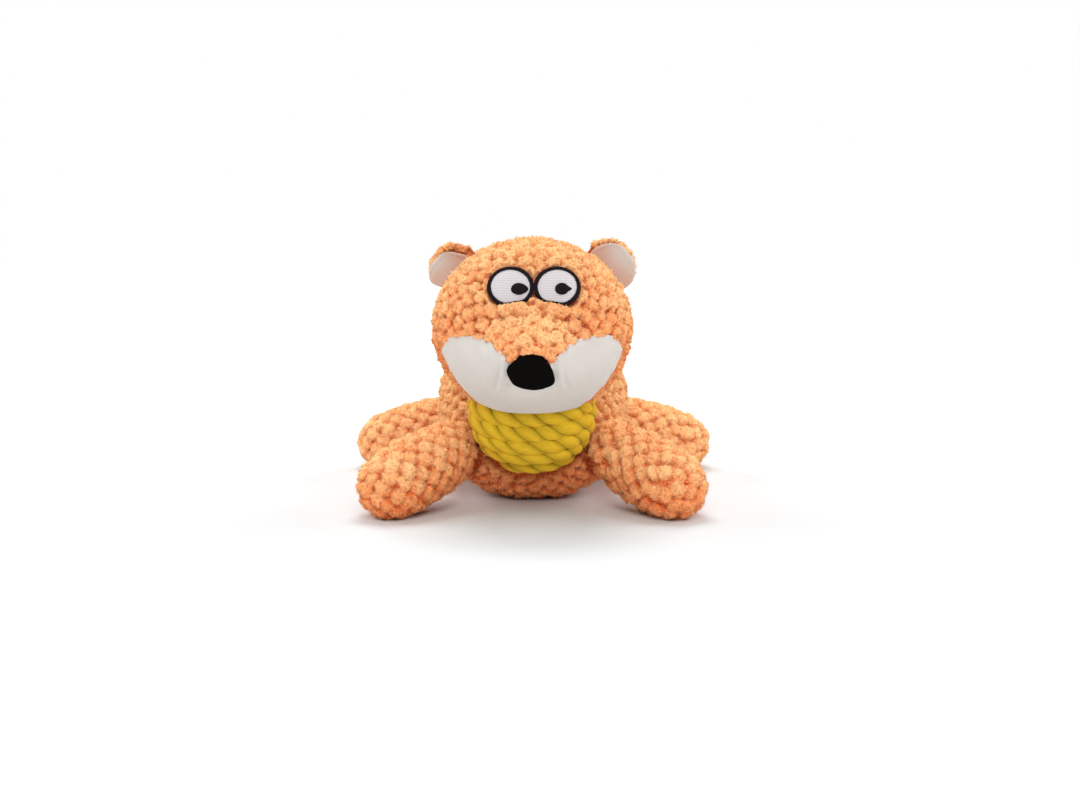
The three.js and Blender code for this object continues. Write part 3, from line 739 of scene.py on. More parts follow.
def limb_points(radii, length, inset, step):
    """Points and faces of a limb along +Z, round at its root and its end."""
    root, _, end = radii
    angle = np.linspace(0, math.pi / 2, 24)
    heights = np.concatenate((
        (-root * np.cos(angle))[1:-1],
        np.linspace(0, length, max(8, int(length / step))),
        length + (end * np.sin(angle))[1:],
    ))
    profile = np.stack((limb_radius(radii, length, heights), heights), axis=1)
    run = run_of(np.linalg.norm(np.diff(profile, axis=0), axis=1))
    even = np.linspace(0, run[-1], max(10, int(run[-1] / step)))[:-1]
    radius, height = (np.interp(even, run, profile[:, i]) for i in (0, 1))
    around = max(24, int(2 * math.pi * max(radii) / step))
    turn = np.linspace(0, 2 * math.pi, around, endpoint=False)
    x = radius[:, None] * np.cos(turn)
    y = radius[:, None] * np.sin(turn)
    z = np.repeat(height[:, None], around, axis=1)
    points = np.stack((x, y, z), axis=2).reshape(-1, 3)
    faces = ring_faces(len(even), around)
    tip = len(points)
    points = np.vstack((points, (0, 0, length + end), (0, 0, -root)))
    first = np.arange(around)
    last = (len(even) - 1) * around + first
    cap = np.stack((last, np.roll(last, -1), np.full(around, tip)), axis=1)
    inner_cap = np.stack((np.roll(first, -1), first, np.full(around, tip + 1)), axis=1)
    faces = np.vstack((triangles_of(faces), cap, inner_cap))
    normal, _ = surface_of(points, faces)
    return points - normal * inset, faces


def limb_lattice(radii, length, pitch):
    """Tuft centres in rings round a limb along +Z, each ring half a tuft past the last."""
    heights = np.linspace(-radii[0] * 0.99, length + radii[2] * 0.999, 200)
    radius = limb_radius(radii, length, heights)
    run = run_of(np.hypot(np.diff(radius), np.diff(heights)))
    rows = np.interp(np.arange(0, run[-1], pitch / math.sqrt(2)), run, heights)
    centres = []
    for number, (height, wide) in enumerate(zip(rows, limb_radius(radii, length, rows))):
        around = max(1, round(2 * math.pi * wide / (pitch * math.sqrt(2))))
        angle = ring_turns(around, number)
        centres.append(np.stack((
            wide * np.cos(angle), wide * np.sin(angle), np.full(around, height),
        ), axis=1))
    return np.vstack(centres)


def turned_to(points, way, root):
    """Points along +Z turned to point another way, from a root."""
    side = unit(np.cross((0, 0, 1), way))
    upper = np.cross(way, side)
    return root + points @ np.stack((side, upper, way))


def limb_gap(points, radii, length, way, root):
    """How far points lie outside a limb."""
    height = (points - root) @ way
    away = np.linalg.norm(points - root - height[:, None] * way, axis=1)
    body = away - limb_radius(radii, length, np.clip(height, 0, length))
    below = np.hypot(away, height) - radii[0]
    beyond = np.hypot(away, height - length) - radii[2]
    return np.where(height < 0, below, np.where(height > length, beyond, body))


# Torso


def torso_section(at):
    """Along, half width, middle height and half height at places between the stations."""
    along, width, under, top = through(TORSO_SHARES, at).T
    return (
        TORSO_FRONT + along * TORSO_LENGTH, np.maximum(width, 0) * TORSO_HALF_WIDTH,
        TORSO_HEIGHT * (top + under) / 2 - FLOOR_PRESS, TORSO_HEIGHT * (top - under) / 2,
    )


def torso_points(step, inset):
    """Points and faces of the torso's form."""
    dense = np.linspace(0, len(TORSO_SHARES) - 1, 400)
    y, width, middle, half = torso_section(dense)
    side = np.hypot(np.diff(y), np.diff(width))
    top = np.hypot(np.diff(y), np.diff(middle + half))
    run = run_of((side + top) / 2)
    at = np.interp(np.linspace(0, run[-1], int(run[-1] / step))[1:-1], run, dense)
    y, width, middle, half = torso_section(at)
    around = int(2 * math.pi * 0.93 * TORSO_HALF_WIDTH / step)
    angle = np.linspace(0, 2 * math.pi, around, endpoint=False)
    blunt = [
        np.sign(v) * np.abs(v) ** (2 / TORSO_BLUNTNESS) for v in (-np.cos(angle), np.sin(angle))
    ]
    x = width[:, None] * blunt[0]
    z = middle[:, None] + half[:, None] * blunt[1]
    points = np.stack((x, np.repeat(y[:, None], around, axis=1), z), axis=2).reshape(-1, 3)
    faces = triangles_of(ring_faces(len(at), around))
    ends = len(points)
    tips = [
        (0, TORSO_FRONT + along * TORSO_LENGTH, under * TORSO_HEIGHT - FLOOR_PRESS)
        for along, _, under, _ in TORSO_SHARES[[0, -1]]
    ]
    points = np.vstack((points, tips))
    first = np.arange(around)
    last = ends - around + first
    faces = np.vstack((
        faces,
        np.stack((np.roll(first, -1), first, np.full(around, ends)), axis=1),
        np.stack((last, np.roll(last, -1), np.full(around, ends + 1)), axis=1),
    ))
    normal, _ = surface_of(points, faces)
    return points - normal * inset, faces


def torso_lattice(pitch):
    """Tuft centres in rings round the torso, each ring set half a tuft past the last."""
    dense = np.linspace(0.25, len(TORSO_SHARES) - 1.2, 300)
    y, width, middle, half = torso_section(dense)
    run = run_of(np.hypot(np.diff(y), np.diff(width + half) / 2))
    rows = np.interp(np.arange(0, run[-1], 0.9 * pitch), run, dense)
    centres = []
    for number, (along, wide, mid, tall) in enumerate(np.stack(torso_section(rows), axis=1)):
        around = max(5, round(math.pi * (wide + tall) / pitch))
        angle = ring_turns(around, number)
        centres.append(np.stack((
            wide * np.cos(angle), np.full(around, along), mid + tall * np.sin(angle),
        ), axis=1))
    return np.vstack(centres)


def torso_gap(points):
    """About how far points lie outside the torso."""
    dense = np.linspace(0, len(TORSO_SHARES) - 1, 300)
    y, width, middle, half = torso_section(dense)
    width, middle, half = (np.interp(points[:, 1], y, v) for v in (width, middle, half))
    power = TORSO_BLUNTNESS
    across = np.abs(points[:, 0]) / np.maximum(width, 1)
    tall = np.abs(points[:, 2] - middle) / np.maximum(half, 1)
    level = (across ** power + tall ** power) ** (1 / power)
    return (level - 1) * np.maximum(np.minimum(width, half), 8)


# Head

SNOUT_SLOPE = math.radians(SNOUT_DROP)
SNOUT_WAY = np.array((0, -math.cos(SNOUT_SLOPE), -math.sin(SNOUT_SLOPE)))


def head_points(directions):
    """Places on the head for unit directions."""
    away = np.degrees(np.arccos(np.clip(directions @ SNOUT_WAY, -1, 1))) / SNOUT_SPREAD
    places = HEAD + directions * HEAD_HALF
    places[:, 1] -= SNOUT_LENGTH * np.exp(-(away ** SNOUT_SHARPNESS))
    return places


def on_face(x, z, lift=0.0):
    """Places on the front of the head over x and z from its centre, raised by a lift."""
    def surface(across, up):
        shares = np.stack((across / HEAD_HALF[0], up / HEAD_HALF[2]), axis=-1)
        depth = -np.sqrt(np.maximum(1 - (shares ** 2).sum(axis=-1), 1e-6))
        return head_points(np.stack((shares[..., 0], depth, shares[..., 1]), axis=-1))

    x, z = np.asarray(x, float).ravel(), np.asarray(z, float).ravel()
    here = surface(x, z)
    across = surface(x + 0.2, z) - here
    up = surface(x, z + 0.2) - here
    normal = unit(np.cross(across, up))
    return here + normal * np.asarray(lift).reshape(-1, 1), normal


def eye_outline(sign, inset):
    """An eye's outline from the head's centre: an oval whose lower edge slopes outwards."""
    angle = np.linspace(0, 2 * math.pi, 96, endpoint=False)
    x = (EYE_HALF[0] - inset) * np.cos(angle)
    z = (EYE_HALF[1] - inset) * np.sin(angle)
    inner = EYE_SPREAD + x * sign
    z = np.maximum(z, -7.2 + inset * 0.75 - 0.16 * inner)
    points = np.stack((EYE_SHIFT + sign * EYE_SPREAD + x, EYE_RISE + z), axis=1)
    for _ in range(4):
        points = (np.roll(points, 1, axis=0) + 2 * points + np.roll(points, -1, axis=0)) / 4
    return points


NOSE_OUTLINE = rounded((
    (-11.8, -0.6), (-9.6, 3.6), (-3.9, 7.9), (3.0, 8.1), (7.9, 4.6), (11.2, -5.2),
    (6.6, -8.6), (-0.6, -9.5), (-8.6, -6.8),
))
NOSE_HEIGHT = HEAD_HALF[2] * -math.sin(SNOUT_SLOPE)

# A distance inside an outline that stands for far outside it, on the back of the head.
FAR = -30


def head_distances(points, normal):
    """How far points of the head lie from its seams and patches.

    They are: inside the muzzle's edge, behind the face's seam, outside the neck's hollow, inside
    the eyes' edges and inside the nose's edge.
    """
    local = points - HEAD
    front = local[:, 1] < 0
    corners = [(x * HEAD_HALF[0], z * HEAD_HALF[2]) for x, z in MUZZLE_SHARES]
    corners = corners + [(-x, z) for x, z in reversed(corners)]
    inside, way = outline_distance(local[:, 0], local[:, 2], rounded(corners, 4))
    slant = np.maximum(1 - (way[:, 0] * normal[:, 0] + way[:, 1] * normal[:, 2]) ** 2, 0.1)
    tilt = math.radians(FACE_SEAM_TILT)
    seam_way = np.array((0, math.cos(tilt), -math.sin(tilt)))
    behind = local @ seam_way + FACE_SEAM_FORWARD
    behind = behind / np.sqrt(np.maximum(1 - (normal @ seam_way) ** 2, 0.2))
    neck = np.linalg.norm(points - NECK, axis=1) - NECK_RADIUS
    eyes = np.maximum(*[
        outline_distance(local[:, 0], local[:, 2], eye_outline(sign, 0))[0] for _, sign in SIDES
    ])
    nose, _ = outline_distance(local[:, 0], local[:, 2] - NOSE_HEIGHT, NOSE_OUTLINE)
    inside, eyes, nose = (
        np.where(front, v, FAR) for v in (inside / np.sqrt(slant), eyes, nose)
    )
    return inside, behind, neck, eyes, nose


def head_plush(points, faces, distances, pitch, depth):
    """The head raised into tufts: lower at its seams, brushed along the snout.

    The tufts stand higher in a brim under the eyes and over the nose, and hide their edges.
    """
    inside, behind, neck, eyes, nose = distances
    local = points - HEAD
    aside, ahead, up = np.abs(local[:, 0]), -local[:, 1], local[:, 2]
    below_eyes = (1 - fade(0.5, 4, np.abs(eyes))) * fade(EYE_RISE - 2, EYE_RISE - 8, up)
    over_nose = (1 - fade(0.5, 4, np.abs(nose))) * fade(0, 4, up - NOSE_HEIGHT)
    brim = np.maximum(below_eyes * (1 - fade(12, 22, aside)), over_nose)
    keep = (
        fade(-1.5, 0.7, -inside) * fade(0, 4, neck) * (0.5 + 0.5 * fade(0, 1.8, np.abs(behind)))
        * fade(-0.4 - brim, 2.4 - 3 * brim, -eyes) * fade(-1.5 - 0.6 * brim, 1 - brim, -nose)
    )
    brushed = (1 - fade(8, 30, aside)) * fade(-30, -14, up) * fade(20, 34, ahead)
    _, area = surface_of(points, faces)
    centres = head_points(spiral(int(area.sum() / (TUFT_AREA_SHARE * pitch ** 2))))
    centres = settled(centres, points, area, 4, HEAD_SEED)
    depth = depth * (1 - 0.3 * brushed) * (0.45 + 0.55 * fade(1, 4, np.abs(inside + 0.5)))
    raised, pile, shade = tufted(
        points, faces, centres, pitch, depth, keep, HEAD_SEED,
        merged=0.2 + 0.5 * brushed, ragged=1.1 + 0.6 * brushed, lift=1.7 * brim - 0.8,
    )
    # Brushed tufts get less painted shade in their gaps.
    return raised, np.clip(pile + 0.15 * brushed, 0, 1), shade


def muzzle_velour(points, normal, inside, neck):
    """The head's form as velour: sunk and puckered at its edge, with a fold beside the snout."""
    local = points - HEAD
    rise = (
        -0.6 * (1 - fade(-0.6, 3, inside)) - 1.2 * (1 - fade(0, 4, neck))
        + 0.35 * lumps(points, 16, 5) * fade(0, 8, inside) - 0.2
    )
    pucker = np.cos(local[:, 0] * 0.62 + local[:, 2] * 0.35) * (1 - fade(1, 9, inside))
    rise = rise + 0.28 * pucker * fade(0, 2, inside)
    for _, sign in SIDES:
        line = sign * (13.5 + 0.012 * (local[:, 2] + 14) ** 2)
        aside = np.abs(local[:, 0] - line)
        fold = np.exp(-(aside / 1.1) ** 2) - 0.9 * np.exp(-((aside - 2.4) / 1.2) ** 2)
        reach = fade(-32, -22, local[:, 2]) * (1 - fade(-6, 0, local[:, 2]))
        rise = rise + 0.9 * fold * reach * fade(0, 2, inside)
    return points + normal * rise[:, None]


def clear_of_neck(points, gap):
    """Points inside the neck's hollow are moved out to its wall."""
    away = points - NECK
    outside = np.linalg.norm(away, axis=1) > NECK_RADIUS + gap
    return np.where(outside[:, None], points, NECK + unit(away) * (NECK_RADIUS + gap))


class FOX_OT_head(bpy.types.Operator):
    """Make the head's plush back, plush face and velour muzzle"""

    bl_idname = "fox.head"
    bl_label = "Head"

    def execute(self, context):
        sizes = context.scene.fox_sizes
        ball, faces = ball_grid(8)
        points = head_points(ball)
        normal, _ = surface_of(points, faces)
        distances = head_distances(points, normal)
        inside, behind, neck, _, _ = distances
        raised, *values = head_plush(
            points, faces, distances, sizes.bump_pitch / MM, sizes.bump_height / MM
        )
        open_neck = neck > -2.5
        plush = (inside < 1.6) & open_neck
        for name, kept in (("back", behind > -0.6), ("face", behind < 0.6)):
            cover = plush_piece(f"head_{name}", *part_of(raised, faces, plush & kept, *values))
            stands_for(cover, f"head_{name}_panel", "orange_plush", "head")
        velour = muzzle_velour(points, normal, inside, neck)
        velour = part_of(velour, faces, (inside > -1.2) & open_neck)
        muzzle = piece("muzzle", *velour, "cut_velour")
        stands_for(muzzle, "muzzle_panel", "white_velour", "head")
        inner, faces = ball_grid(5)
        points = head_points(inner)
        points = points - surface_of(points, faces)[0] * COVER_DEPTH
        points = points + unit(inner) * (0.8 * lumps(points, 9, 3))[:, None]
        filling = piece("head_stuffing", clear_of_neck(points, 0.5), faces, "loose_fibre")
        stands_for(filling, "head_filling", "fibre_filling", "head")
        return {"FINISHED"}


def outline_rings(outline, centre, rings):
    """Smaller copies of an outline round its centre, and the share of its size of each point."""
    flat = np.concatenate([centre + (outline - centre) * ring for ring in rings])
    return flat, np.repeat(rings, len(outline))


def domed(flat, rise, centre, top, around):
    """Rings of points raised from the face and closed over their centre: points, faces, normals."""
    points, _ = on_face(flat[:, 0], flat[:, 1], rise)
    middle, _ = on_face(centre[:1], centre[1:], top)
    first = np.arange(around)
    cap = np.stack((np.roll(first, -1), first, np.full(around, len(points))), axis=1)
    faces = np.vstack((triangles_of(ring_faces(len(flat) // around, around)), cap))
    points = np.vstack((points, middle))
    normal, _ = surface_of(points, faces)
    if normal[:, 1].sum() > 0:
        return points, faces[:, ::-1], -normal
    return points, faces, normal


class FOX_OT_nose(bpy.types.Operator):
    """Make the padded nose of black velour"""

    bl_idname = "fox.nose"
    bl_label = "Nose"

    def execute(self, context):
        centre = np.array((0, NOSE_HEIGHT))
        rings = np.sin(np.linspace(0, math.pi / 2, 30))[1:]
        flat, share = outline_rings(NOSE_OUTLINE + centre, centre, rings)
        puff = NOSE_PUFF * (1 - share ** 3.2) ** 0.55 - NOSE_SUNK
        top = NOSE_PUFF - NOSE_SUNK
        points, faces, normal = domed(flat, puff, centre, top, len(NOSE_OUTLINE))
        grain = 0.12 * lumps(points, 2.0, 8) + 0.1 * lumps(points, 0.9, 9)
        nose = piece("nose_pad", points + normal * grain[:, None], faces, "nose_velour")
        stands_for(nose, "nose", "black_velour", "head")
        return {"FINISHED"}


def patch(name, outline, lift, dome, finish, slot, node, stitch):
    """A flat embroidered patch on the face, filled with level rows of thread.

    Real rows lie about 0.4 mm apart. The whites' are drawn coarser, so that they show.
    """
    centre = outline.mean(axis=0)
    flat, share = outline_rings(outline, centre, np.linspace(0, 1, 44)[1:])
    row = flat[:, 1] / stitch + 0.12 * np.sin(flat[:, 0] * 0.9)
    ridge = np.abs(np.sin(math.pi * row)) ** 0.45
    rise = lift + dome * (1 - share ** 4) ** 0.5 + 0.1 * ridge
    points, faces, _ = domed(flat, rise, centre, lift + dome, len(outline))
    # The pile of each point sets painted shade in the grooves between rows.
    made = piece(name, points, faces, finish, {"pile": np.append(0.35 + 0.65 * ridge, 1)})
    stands_for(made, node, slot, "head")


def stitch_tree():
    """Satin stitches laid side by side across a line."""
    tree, use, given = new_group("satin_stitches", (
        ("Pitch", 0.00045), ("Width", 0.0024), ("Thickness", 0.0005),
    ))
    lift = add(tree, "GeometryNodeInputNamedAttribute", {"data_type": "FLOAT_VECTOR"}, {
        "Name": "lift",
    })
    upright = add(tree, "FunctionNodeAlignRotationToVector", {"axis": "Z"}, {
        "Vector": lift.outputs["Attribute"],
    })
    turned = add(tree, "FunctionNodeAlignRotationToVector", {"axis": "Y", "pivot_axis": "Z"}, {
        "Rotation": upright.outputs[0], "Vector": add(tree, "GeometryNodeInputTangent").outputs[0],
    })
    thread = add(tree, "GeometryNodeMeshUVSphere", inputs={
        "Segments": 8, "Rings": 6, "Radius": 0.5,
    })
    scale = add(tree, "ShaderNodeVectorMath", {"operation": "SCALE"}, {
        0: use("vector", given["Width"], given["Thickness"], given["Thickness"]),
        "Scale": use("random", 0.9, 1.12, 4),
    })
    laid = add(tree, "GeometryNodeInstanceOnPoints", inputs={
        "Points": use("even", use("curve", given["Geometry"]), given["Pitch"]),
        "Instance": thread.outputs["Mesh"], "Rotation": turned.outputs[0],
        "Scale": scale.outputs[0],
    })
    shaded = use("smooth", use("real", laid.outputs[0]))
    return ended(tree, use("dress", shaded, given["Material"]))


def fuzz_tree():
    """Short loose fibres that stand off a surface, each crimped and stiff enough to stand.

    Real fibres are about 0.03 mm thick. These are drawn far thicker, so that they show.
    """
    tree, use, given = new_group("loose_fibres", (
        ("Density", 900000.0), ("Length", 0.0016), ("Radius", 0.00014),
    ))
    spots = add(tree, "GeometryNodeDistributePointsOnFaces", {"distribute_method": "RANDOM"}, {
        "Mesh": given["Geometry"], "Density": given["Density"], "Seed": 5,
    })
    blade = add(tree, "GeometryNodeMeshCone", {"fill_type": "NONE"}, {
        "Vertices": 3, "Radius Top": 0.0, "Radius Bottom": given["Radius"],
        "Depth": given["Length"],
    })
    height = add(tree, "ShaderNodeSeparateXYZ", inputs={
        0: add(tree, "GeometryNodeInputPosition").outputs[0],
    })
    # The height along each fibre, for its tip's paler painted colour.
    marked = add(tree, "GeometryNodeStoreNamedAttribute", {
        "data_type": "FLOAT", "domain": "POINT",
    }, {
        "Geometry": blade.outputs["Mesh"], "Name": "fibre",
        "Value": use("DIVIDE", height.outputs["Z"], given["Length"]),
    })
    swing = add(tree, "FunctionNodeRandomValue", {"data_type": "FLOAT_VECTOR"}, {
        "Min": (-1.1, -1.1, -3.1), "Max": (1.1, 1.1, 3.1), "Seed": 6,
    })
    tilt = add(tree, "FunctionNodeEulerToRotation", inputs={"Euler": swing.outputs[0]})
    turned = add(tree, "FunctionNodeRotateRotation", {"rotation_space": "LOCAL"}, {
        "Rotation": spots.outputs["Rotation"], "Rotate By": tilt.outputs[0],
    })
    fibres = add(tree, "GeometryNodeInstanceOnPoints", inputs={
        "Points": spots.outputs["Points"], "Instance": marked.outputs[0],
        "Rotation": turned.outputs[0], "Scale": use("random", 0.5, 1.2, 7),
    })
    toned = add(tree, "GeometryNodeStoreNamedAttribute", {
        "data_type": "FLOAT", "domain": "INSTANCE",
    }, {"Geometry": fibres.outputs[0], "Name": "tone", "Value": use("random", -1.0, 1.0, 8)})
    dressed = use("dress", use("real", toned.outputs[0]), given["Material"])
    both = add(tree, "GeometryNodeJoinGeometry")
    for shape in (dressed, given["Geometry"]):
        tree.links.new(shape, both.inputs[0])
    return ended(tree, use("smooth", both.outputs[0]))


def grown(name, source, tree, values):
    """The plain mesh that a node tree makes from a source object, which is then removed."""
    modifier = source.modifiers.new("nodes", "NODES")
    modifier.node_group = tree
    for item in tree.interface.items_tree:
        if item.in_out == "INPUT" and item.name in values:
            modifier[item.identifier] = values[item.name]
    evaluated = source.evaluated_get(bpy.context.evaluated_depsgraph_get())
    mesh = bpy.data.meshes.new_from_object(evaluated)
    mesh.name = name
    bpy.data.objects.remove(source)
    return linked(name, mesh)


def plush_piece(name, points, faces, pile, shade):
    """A piece of plush with its loose fibres."""
    bare = piece(f"{name}_bare", points, faces, "popcorn_plush", {"pile": pile, "tuft": shade})
    tree = bpy.data.node_groups.get("loose_fibres") or fuzz_tree()
    return grown(name, bare, tree, {
        "Density": FIBRE_DENSITY, "Length": bpy.context.scene.fox_sizes.fibre_length,
        "Radius": FIBRE_RADIUS * MM, "Material": finish_named("popcorn_plush"),
    })


def line_object(name, points, lift, closed):
    """A line of points in millimetres, with a direction away from the surface at each."""
    mesh = bpy.data.meshes.new(name)
    count = len(points)
    edges = [(i, (i + 1) % count) for i in range(count if closed else count - 1)]
    mesh.from_pydata((points * MM).tolist(), edges, [])
    attribute = mesh.attributes.new("lift", "FLOAT_VECTOR", "POINT")
    attribute.data.foreach_set("vector", np.asarray(lift, np.float32).ravel())
    return linked(name, mesh)


def joined_stitches(name, parts):
    """One object from several, all of full pile."""
    target = bmesh.new()
    for part in parts:
        target.from_mesh(part.data)
    mesh = bpy.data.meshes.new(name)
    target.to_mesh(mesh)
    target.free()
    for material in parts[0].data.materials:
        mesh.materials.append(material)
    mesh.shade_smooth()
    for part in parts:
        bpy.data.objects.remove(part)
    attribute = mesh.attributes.new("pile", "FLOAT", "POINT")
    attribute.data.foreach_set("value", np.ones(len(mesh.vertices), np.float32))
    return linked(name, mesh)


def pupil_outline(side, sign):
    """A pupil's outline from the head's centre: an oval that runs on sideways in a tail."""
    angle = np.linspace(0, 2 * math.pi, 64, endpoint=False)
    width, tail, sharpness = PUPILS[side]
    reach = width + tail * np.maximum(np.cos(angle), 0) ** sharpness
    middle = EYE_SHIFT + sign * EYE_SPREAD + 3.1 - 1.0 * sign
    return np.stack((
        middle + reach * np.cos(angle), EYE_RISE - 1.1 + 2.8 * np.sin(angle),
    ), axis=1)


class FOX_OT_eyes(bpy.types.Operator):
    """Make the embroidered eyes: whites, rings and pupils"""

    bl_idname = "fox.eyes"
    bl_label = "Eyes"

    def execute(self, context):
        tree = stitch_tree()
        rings = []
        for side, sign in SIDES:
            patch(f"eye_{side}_white", eye_outline(sign, WHITE_INSET), -0.3, 0.4, "rayon_white",
                  "white_thread", f"eye_white_{side}", WHITE_ROWS)
            places, lift = on_face(*eye_outline(sign, RING_INSET).T, 0.15)
            source = line_object("ring_line", places, lift, True)
            rings.append(grown(f"ring_{side}", source, tree, {
                "Pitch": context.scene.fox_sizes.stitch_pitch, "Width": RING_WIDTH * MM,
                "Thickness": RING_THICKNESS * MM, "Material": finish_named("rayon_black"),
            }))
            patch(f"pupil_{side}_patch", pupil_outline(side, sign), 0.45, 0.45, "rayon_black",
                  "black_thread", f"pupil_{side}", PUPIL_ROWS)
        stands_for(joined_stitches("eye_rings", rings), "eye_outline", "black_thread", "head")
        return {"FINISHED"}


# Ears

EAR_LOOKS = {
    "left": {"height": 1.08, "width": 1.0, "roll": 0.3, "step": (0.6, 0, 0)},
    "right": {"height": 0.86, "width": 0.86, "roll": 1.0, "step": (-3.0, 0, -0.8)},
}
EAR_COLUMNS = 56
EAR_ROWS = 44
# How far an ear's sheets reach below its hem, and where its sides begin to round off.
EAR_SUNK = 4
EAR_SHOULDER = 0.25


def ear_sheet(front, back, reach, roll, lean):
    """A closed cupped half round in the ear's frame, between two depths.

    A roll of 1 brings its rim on the head's side well forward, and a lean moves it there.
    """
    across, height = np.meshgrid(np.linspace(-1, 1, EAR_COLUMNS), np.linspace(0, 1, EAR_ROWS))
    past = np.clip((height * 0.97 - EAR_SHOULDER) / (1 - EAR_SHOULDER), 0, 1)
    low = 0.92 + 0.08 * height / EAR_SHOULDER
    share = across * np.where(height < EAR_SHOULDER, low, np.sqrt(1 - past ** 2))
    cup = EAR_CUP * (0.25 + 0.75 * height) * share ** 2
    inner = fade(-0.75, 0.35, share)
    x = share * EAR_HALF_WIDTH * reach + lean
    z = -EAR_SUNK + (EAR_HEIGHT + EAR_SUNK) * height * reach
    edge = np.clip(np.minimum(1 - np.abs(across), (1 - height) * 1.1) / 0.22, 0, 1)
    half = (back - front) / 2 * np.sqrt(1 - (1 - edge) ** 2)
    rim = 1.1 * (1 - edge) + 4.2 * roll * inner * fade(0.45, 1, height)
    middle = (front + back) / 2
    sheets = [
        np.stack((x, middle + side * half - cup - rim, z), axis=2).reshape(-1, 3)
        for side in (-1, 1)
    ]
    faces = triangles_of(ring_faces(EAR_ROWS, EAR_COLUMNS, closed=False))
    count = EAR_ROWS * EAR_COLUMNS
    grid = np.arange(count).reshape(EAR_ROWS, EAR_COLUMNS)
    border = np.concatenate((grid[0, :-1], grid[:-1, -1], grid[-1, :0:-1], grid[:0:-1, 0]))
    after = np.roll(border, -1)
    wall = triangles_of(np.stack((border + count, after + count, after, border), axis=1))
    return np.vstack(sheets), np.vstack((faces, faces[:, ::-1] + count, wall))


def ear_back(name, points, faces, height, area, seed):
    """An ear's plush back, with smaller tufts that run out at its hem."""
    pitch = 0.8 * bpy.context.scene.fox_sizes.bump_pitch / MM
    count = int(area.sum() / (TUFT_AREA_SHARE * pitch ** 2))
    picked = np.random.default_rng(EAR_SEED).choice(len(points), count, False, area / area.sum())
    centres = settled(points[picked], points, area, 8, EAR_SEED)
    keep = fade(-2.2, 2, height)
    raised, pile, shade = tufted(points, faces, centres, pitch, 2.6, keep, seed)
    # Painted shade is held back here: the pile never falls below 0.55 and facing darkens the tufts
    # less, so the rim stays bright.
    return plush_piece(name, raised, faces, np.maximum(pile, 0.55), 0.3 * shade)


def ear_lining(name, points, faces, flat):
    """An ear's velour lining, with painted shade and painted orange light bounced from the plush at
    its hem, where the plush lies beside it.
    """
    painted_bounce_and_shade = 0.85 * (1 - fade(-1, 9, flat[:, 2] - 3 * np.abs(flat[:, 0]) / EAR_HALF_WIDTH))
    return piece(name, points, faces, "cut_velour", {"painted_bounce_and_shade": 0.55 * painted_bounce_and_shade})


class FOX_OT_ears(bpy.types.Operator):
    """Make the two ears, plush behind and velour inside"""

    bl_idname = "fox.ears"
    bl_label = "Ears"

    def execute(self, context):
        tilt = math.radians(EAR_TILT)
        for side, sign in SIDES:
            looks = EAR_LOOKS[side]
            roll = looks["roll"]
            root = pivot(f"ear_{side}_bend")
            outward = np.array((sign * math.sin(tilt), 0, math.cos(tilt)))
            across = np.array((-sign * math.cos(tilt), 0, math.sin(tilt)))
            turn = np.stack((across * looks["width"], (0, 1, 0), outward * looks["height"]))
            for made_of, node, slot, form in (
                ("plush", "back", "orange_plush",
                 (-0.6, 3.4, 1.0 + 0.05 * roll, roll, 0.4 + roll)),
                ("velour", "lining", "white_velour",
                 (-3.0, 0.2, 0.97 - 0.07 * roll, 0.3 * roll, -0.4 - 2.2 * roll)),
            ):
                flat, faces = ear_sheet(*form)
                points = root + flat @ turn
                points = points + fade(-4, 5, flat[:, 2])[:, None] * np.array(looks["step"])
                normal, area = surface_of(points, faces)
                if ((points - points.mean(axis=0)) * normal).sum() < 0:
                    faces = faces[:, ::-1]
                name = f"ear_{side}_{made_of}"
                if made_of == "plush":
                    ear = ear_back(name, points, faces, flat[:, 2], area, EAR_SEED + sign)
                else:
                    ear = ear_lining(name, points, faces, flat)
                stands_for(ear, f"ear_{side}_{node}", slot)
                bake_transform(ear)
        return {"FINISHED"}


# Body


def torso_keep(points, neck):
    """How high the torso's tufts may stand: lower at its seams and at the limbs' roots."""
    seam = np.abs(points[:, 2] - SIDE_SEAM_HEIGHT)
    keep = fade(-0.5, 4.5, neck) * (0.45 + 0.55 * fade(0, 2, seam))
    for side, sign in SIDES:
        for kind in LEG_YAW:
            root = pivot(f"{kind}_leg_{side}_swing")
            gap = limb_gap(points, LEG_RADII, LEG_LENGTH, limb_way(kind, sign), root)
            keep = keep * fade(0, 4, np.abs(gap))
    tail = np.linalg.norm(points - pivot("tail_wag"), axis=1) - TAIL_RADII[0]
    return keep * fade(-1, 4, tail)


class FOX_OT_torso(bpy.types.Operator):
    """Make the torso's plush back and belly, and its stuffing"""

    bl_idname = "fox.torso"
    bl_label = "Torso"

    def execute(self, context):
        sizes = context.scene.fox_sizes
        pitch = sizes.bump_pitch / MM
        points, faces = torso_points(TORSO_STEP, COVER_INSET)
        neck = np.linalg.norm(points - NECK, axis=1) - NECK_RADIUS
        _, area = surface_of(points, faces)
        centres = settled(torso_lattice(pitch), points, area, 2, TORSO_SEED)
        raised, pile, shade = tufted(
            points, faces, centres, pitch, sizes.bump_height / MM, torso_keep(points, neck),
            TORSO_SEED, merged=0.5,
        )
        above = points[:, 2] - SIDE_SEAM_HEIGHT
        # Painted shade: the belly's tufts take more of the roots' colour, and the back's less.
        for name, kept, depth in (("back", above > -0.8, 0.55), ("belly", above < 0.8, 1.3)):
            panel = part_of(pressed(raised), faces, (neck > -3) & kept, pile, shade * depth)
            cover = plush_piece(f"torso_{name}", *panel)
            stands_for(cover, f"torso_{name}_panel", "orange_plush", "torso")
        points, faces = torso_points(5, COVER_DEPTH)
        filling = piece("torso_stuffing", clear_of_neck(points, 0.6), faces, "loose_fibre")
        stands_for(filling, "torso_filling", "fibre_filling", "torso")
        return {"FINISHED"}


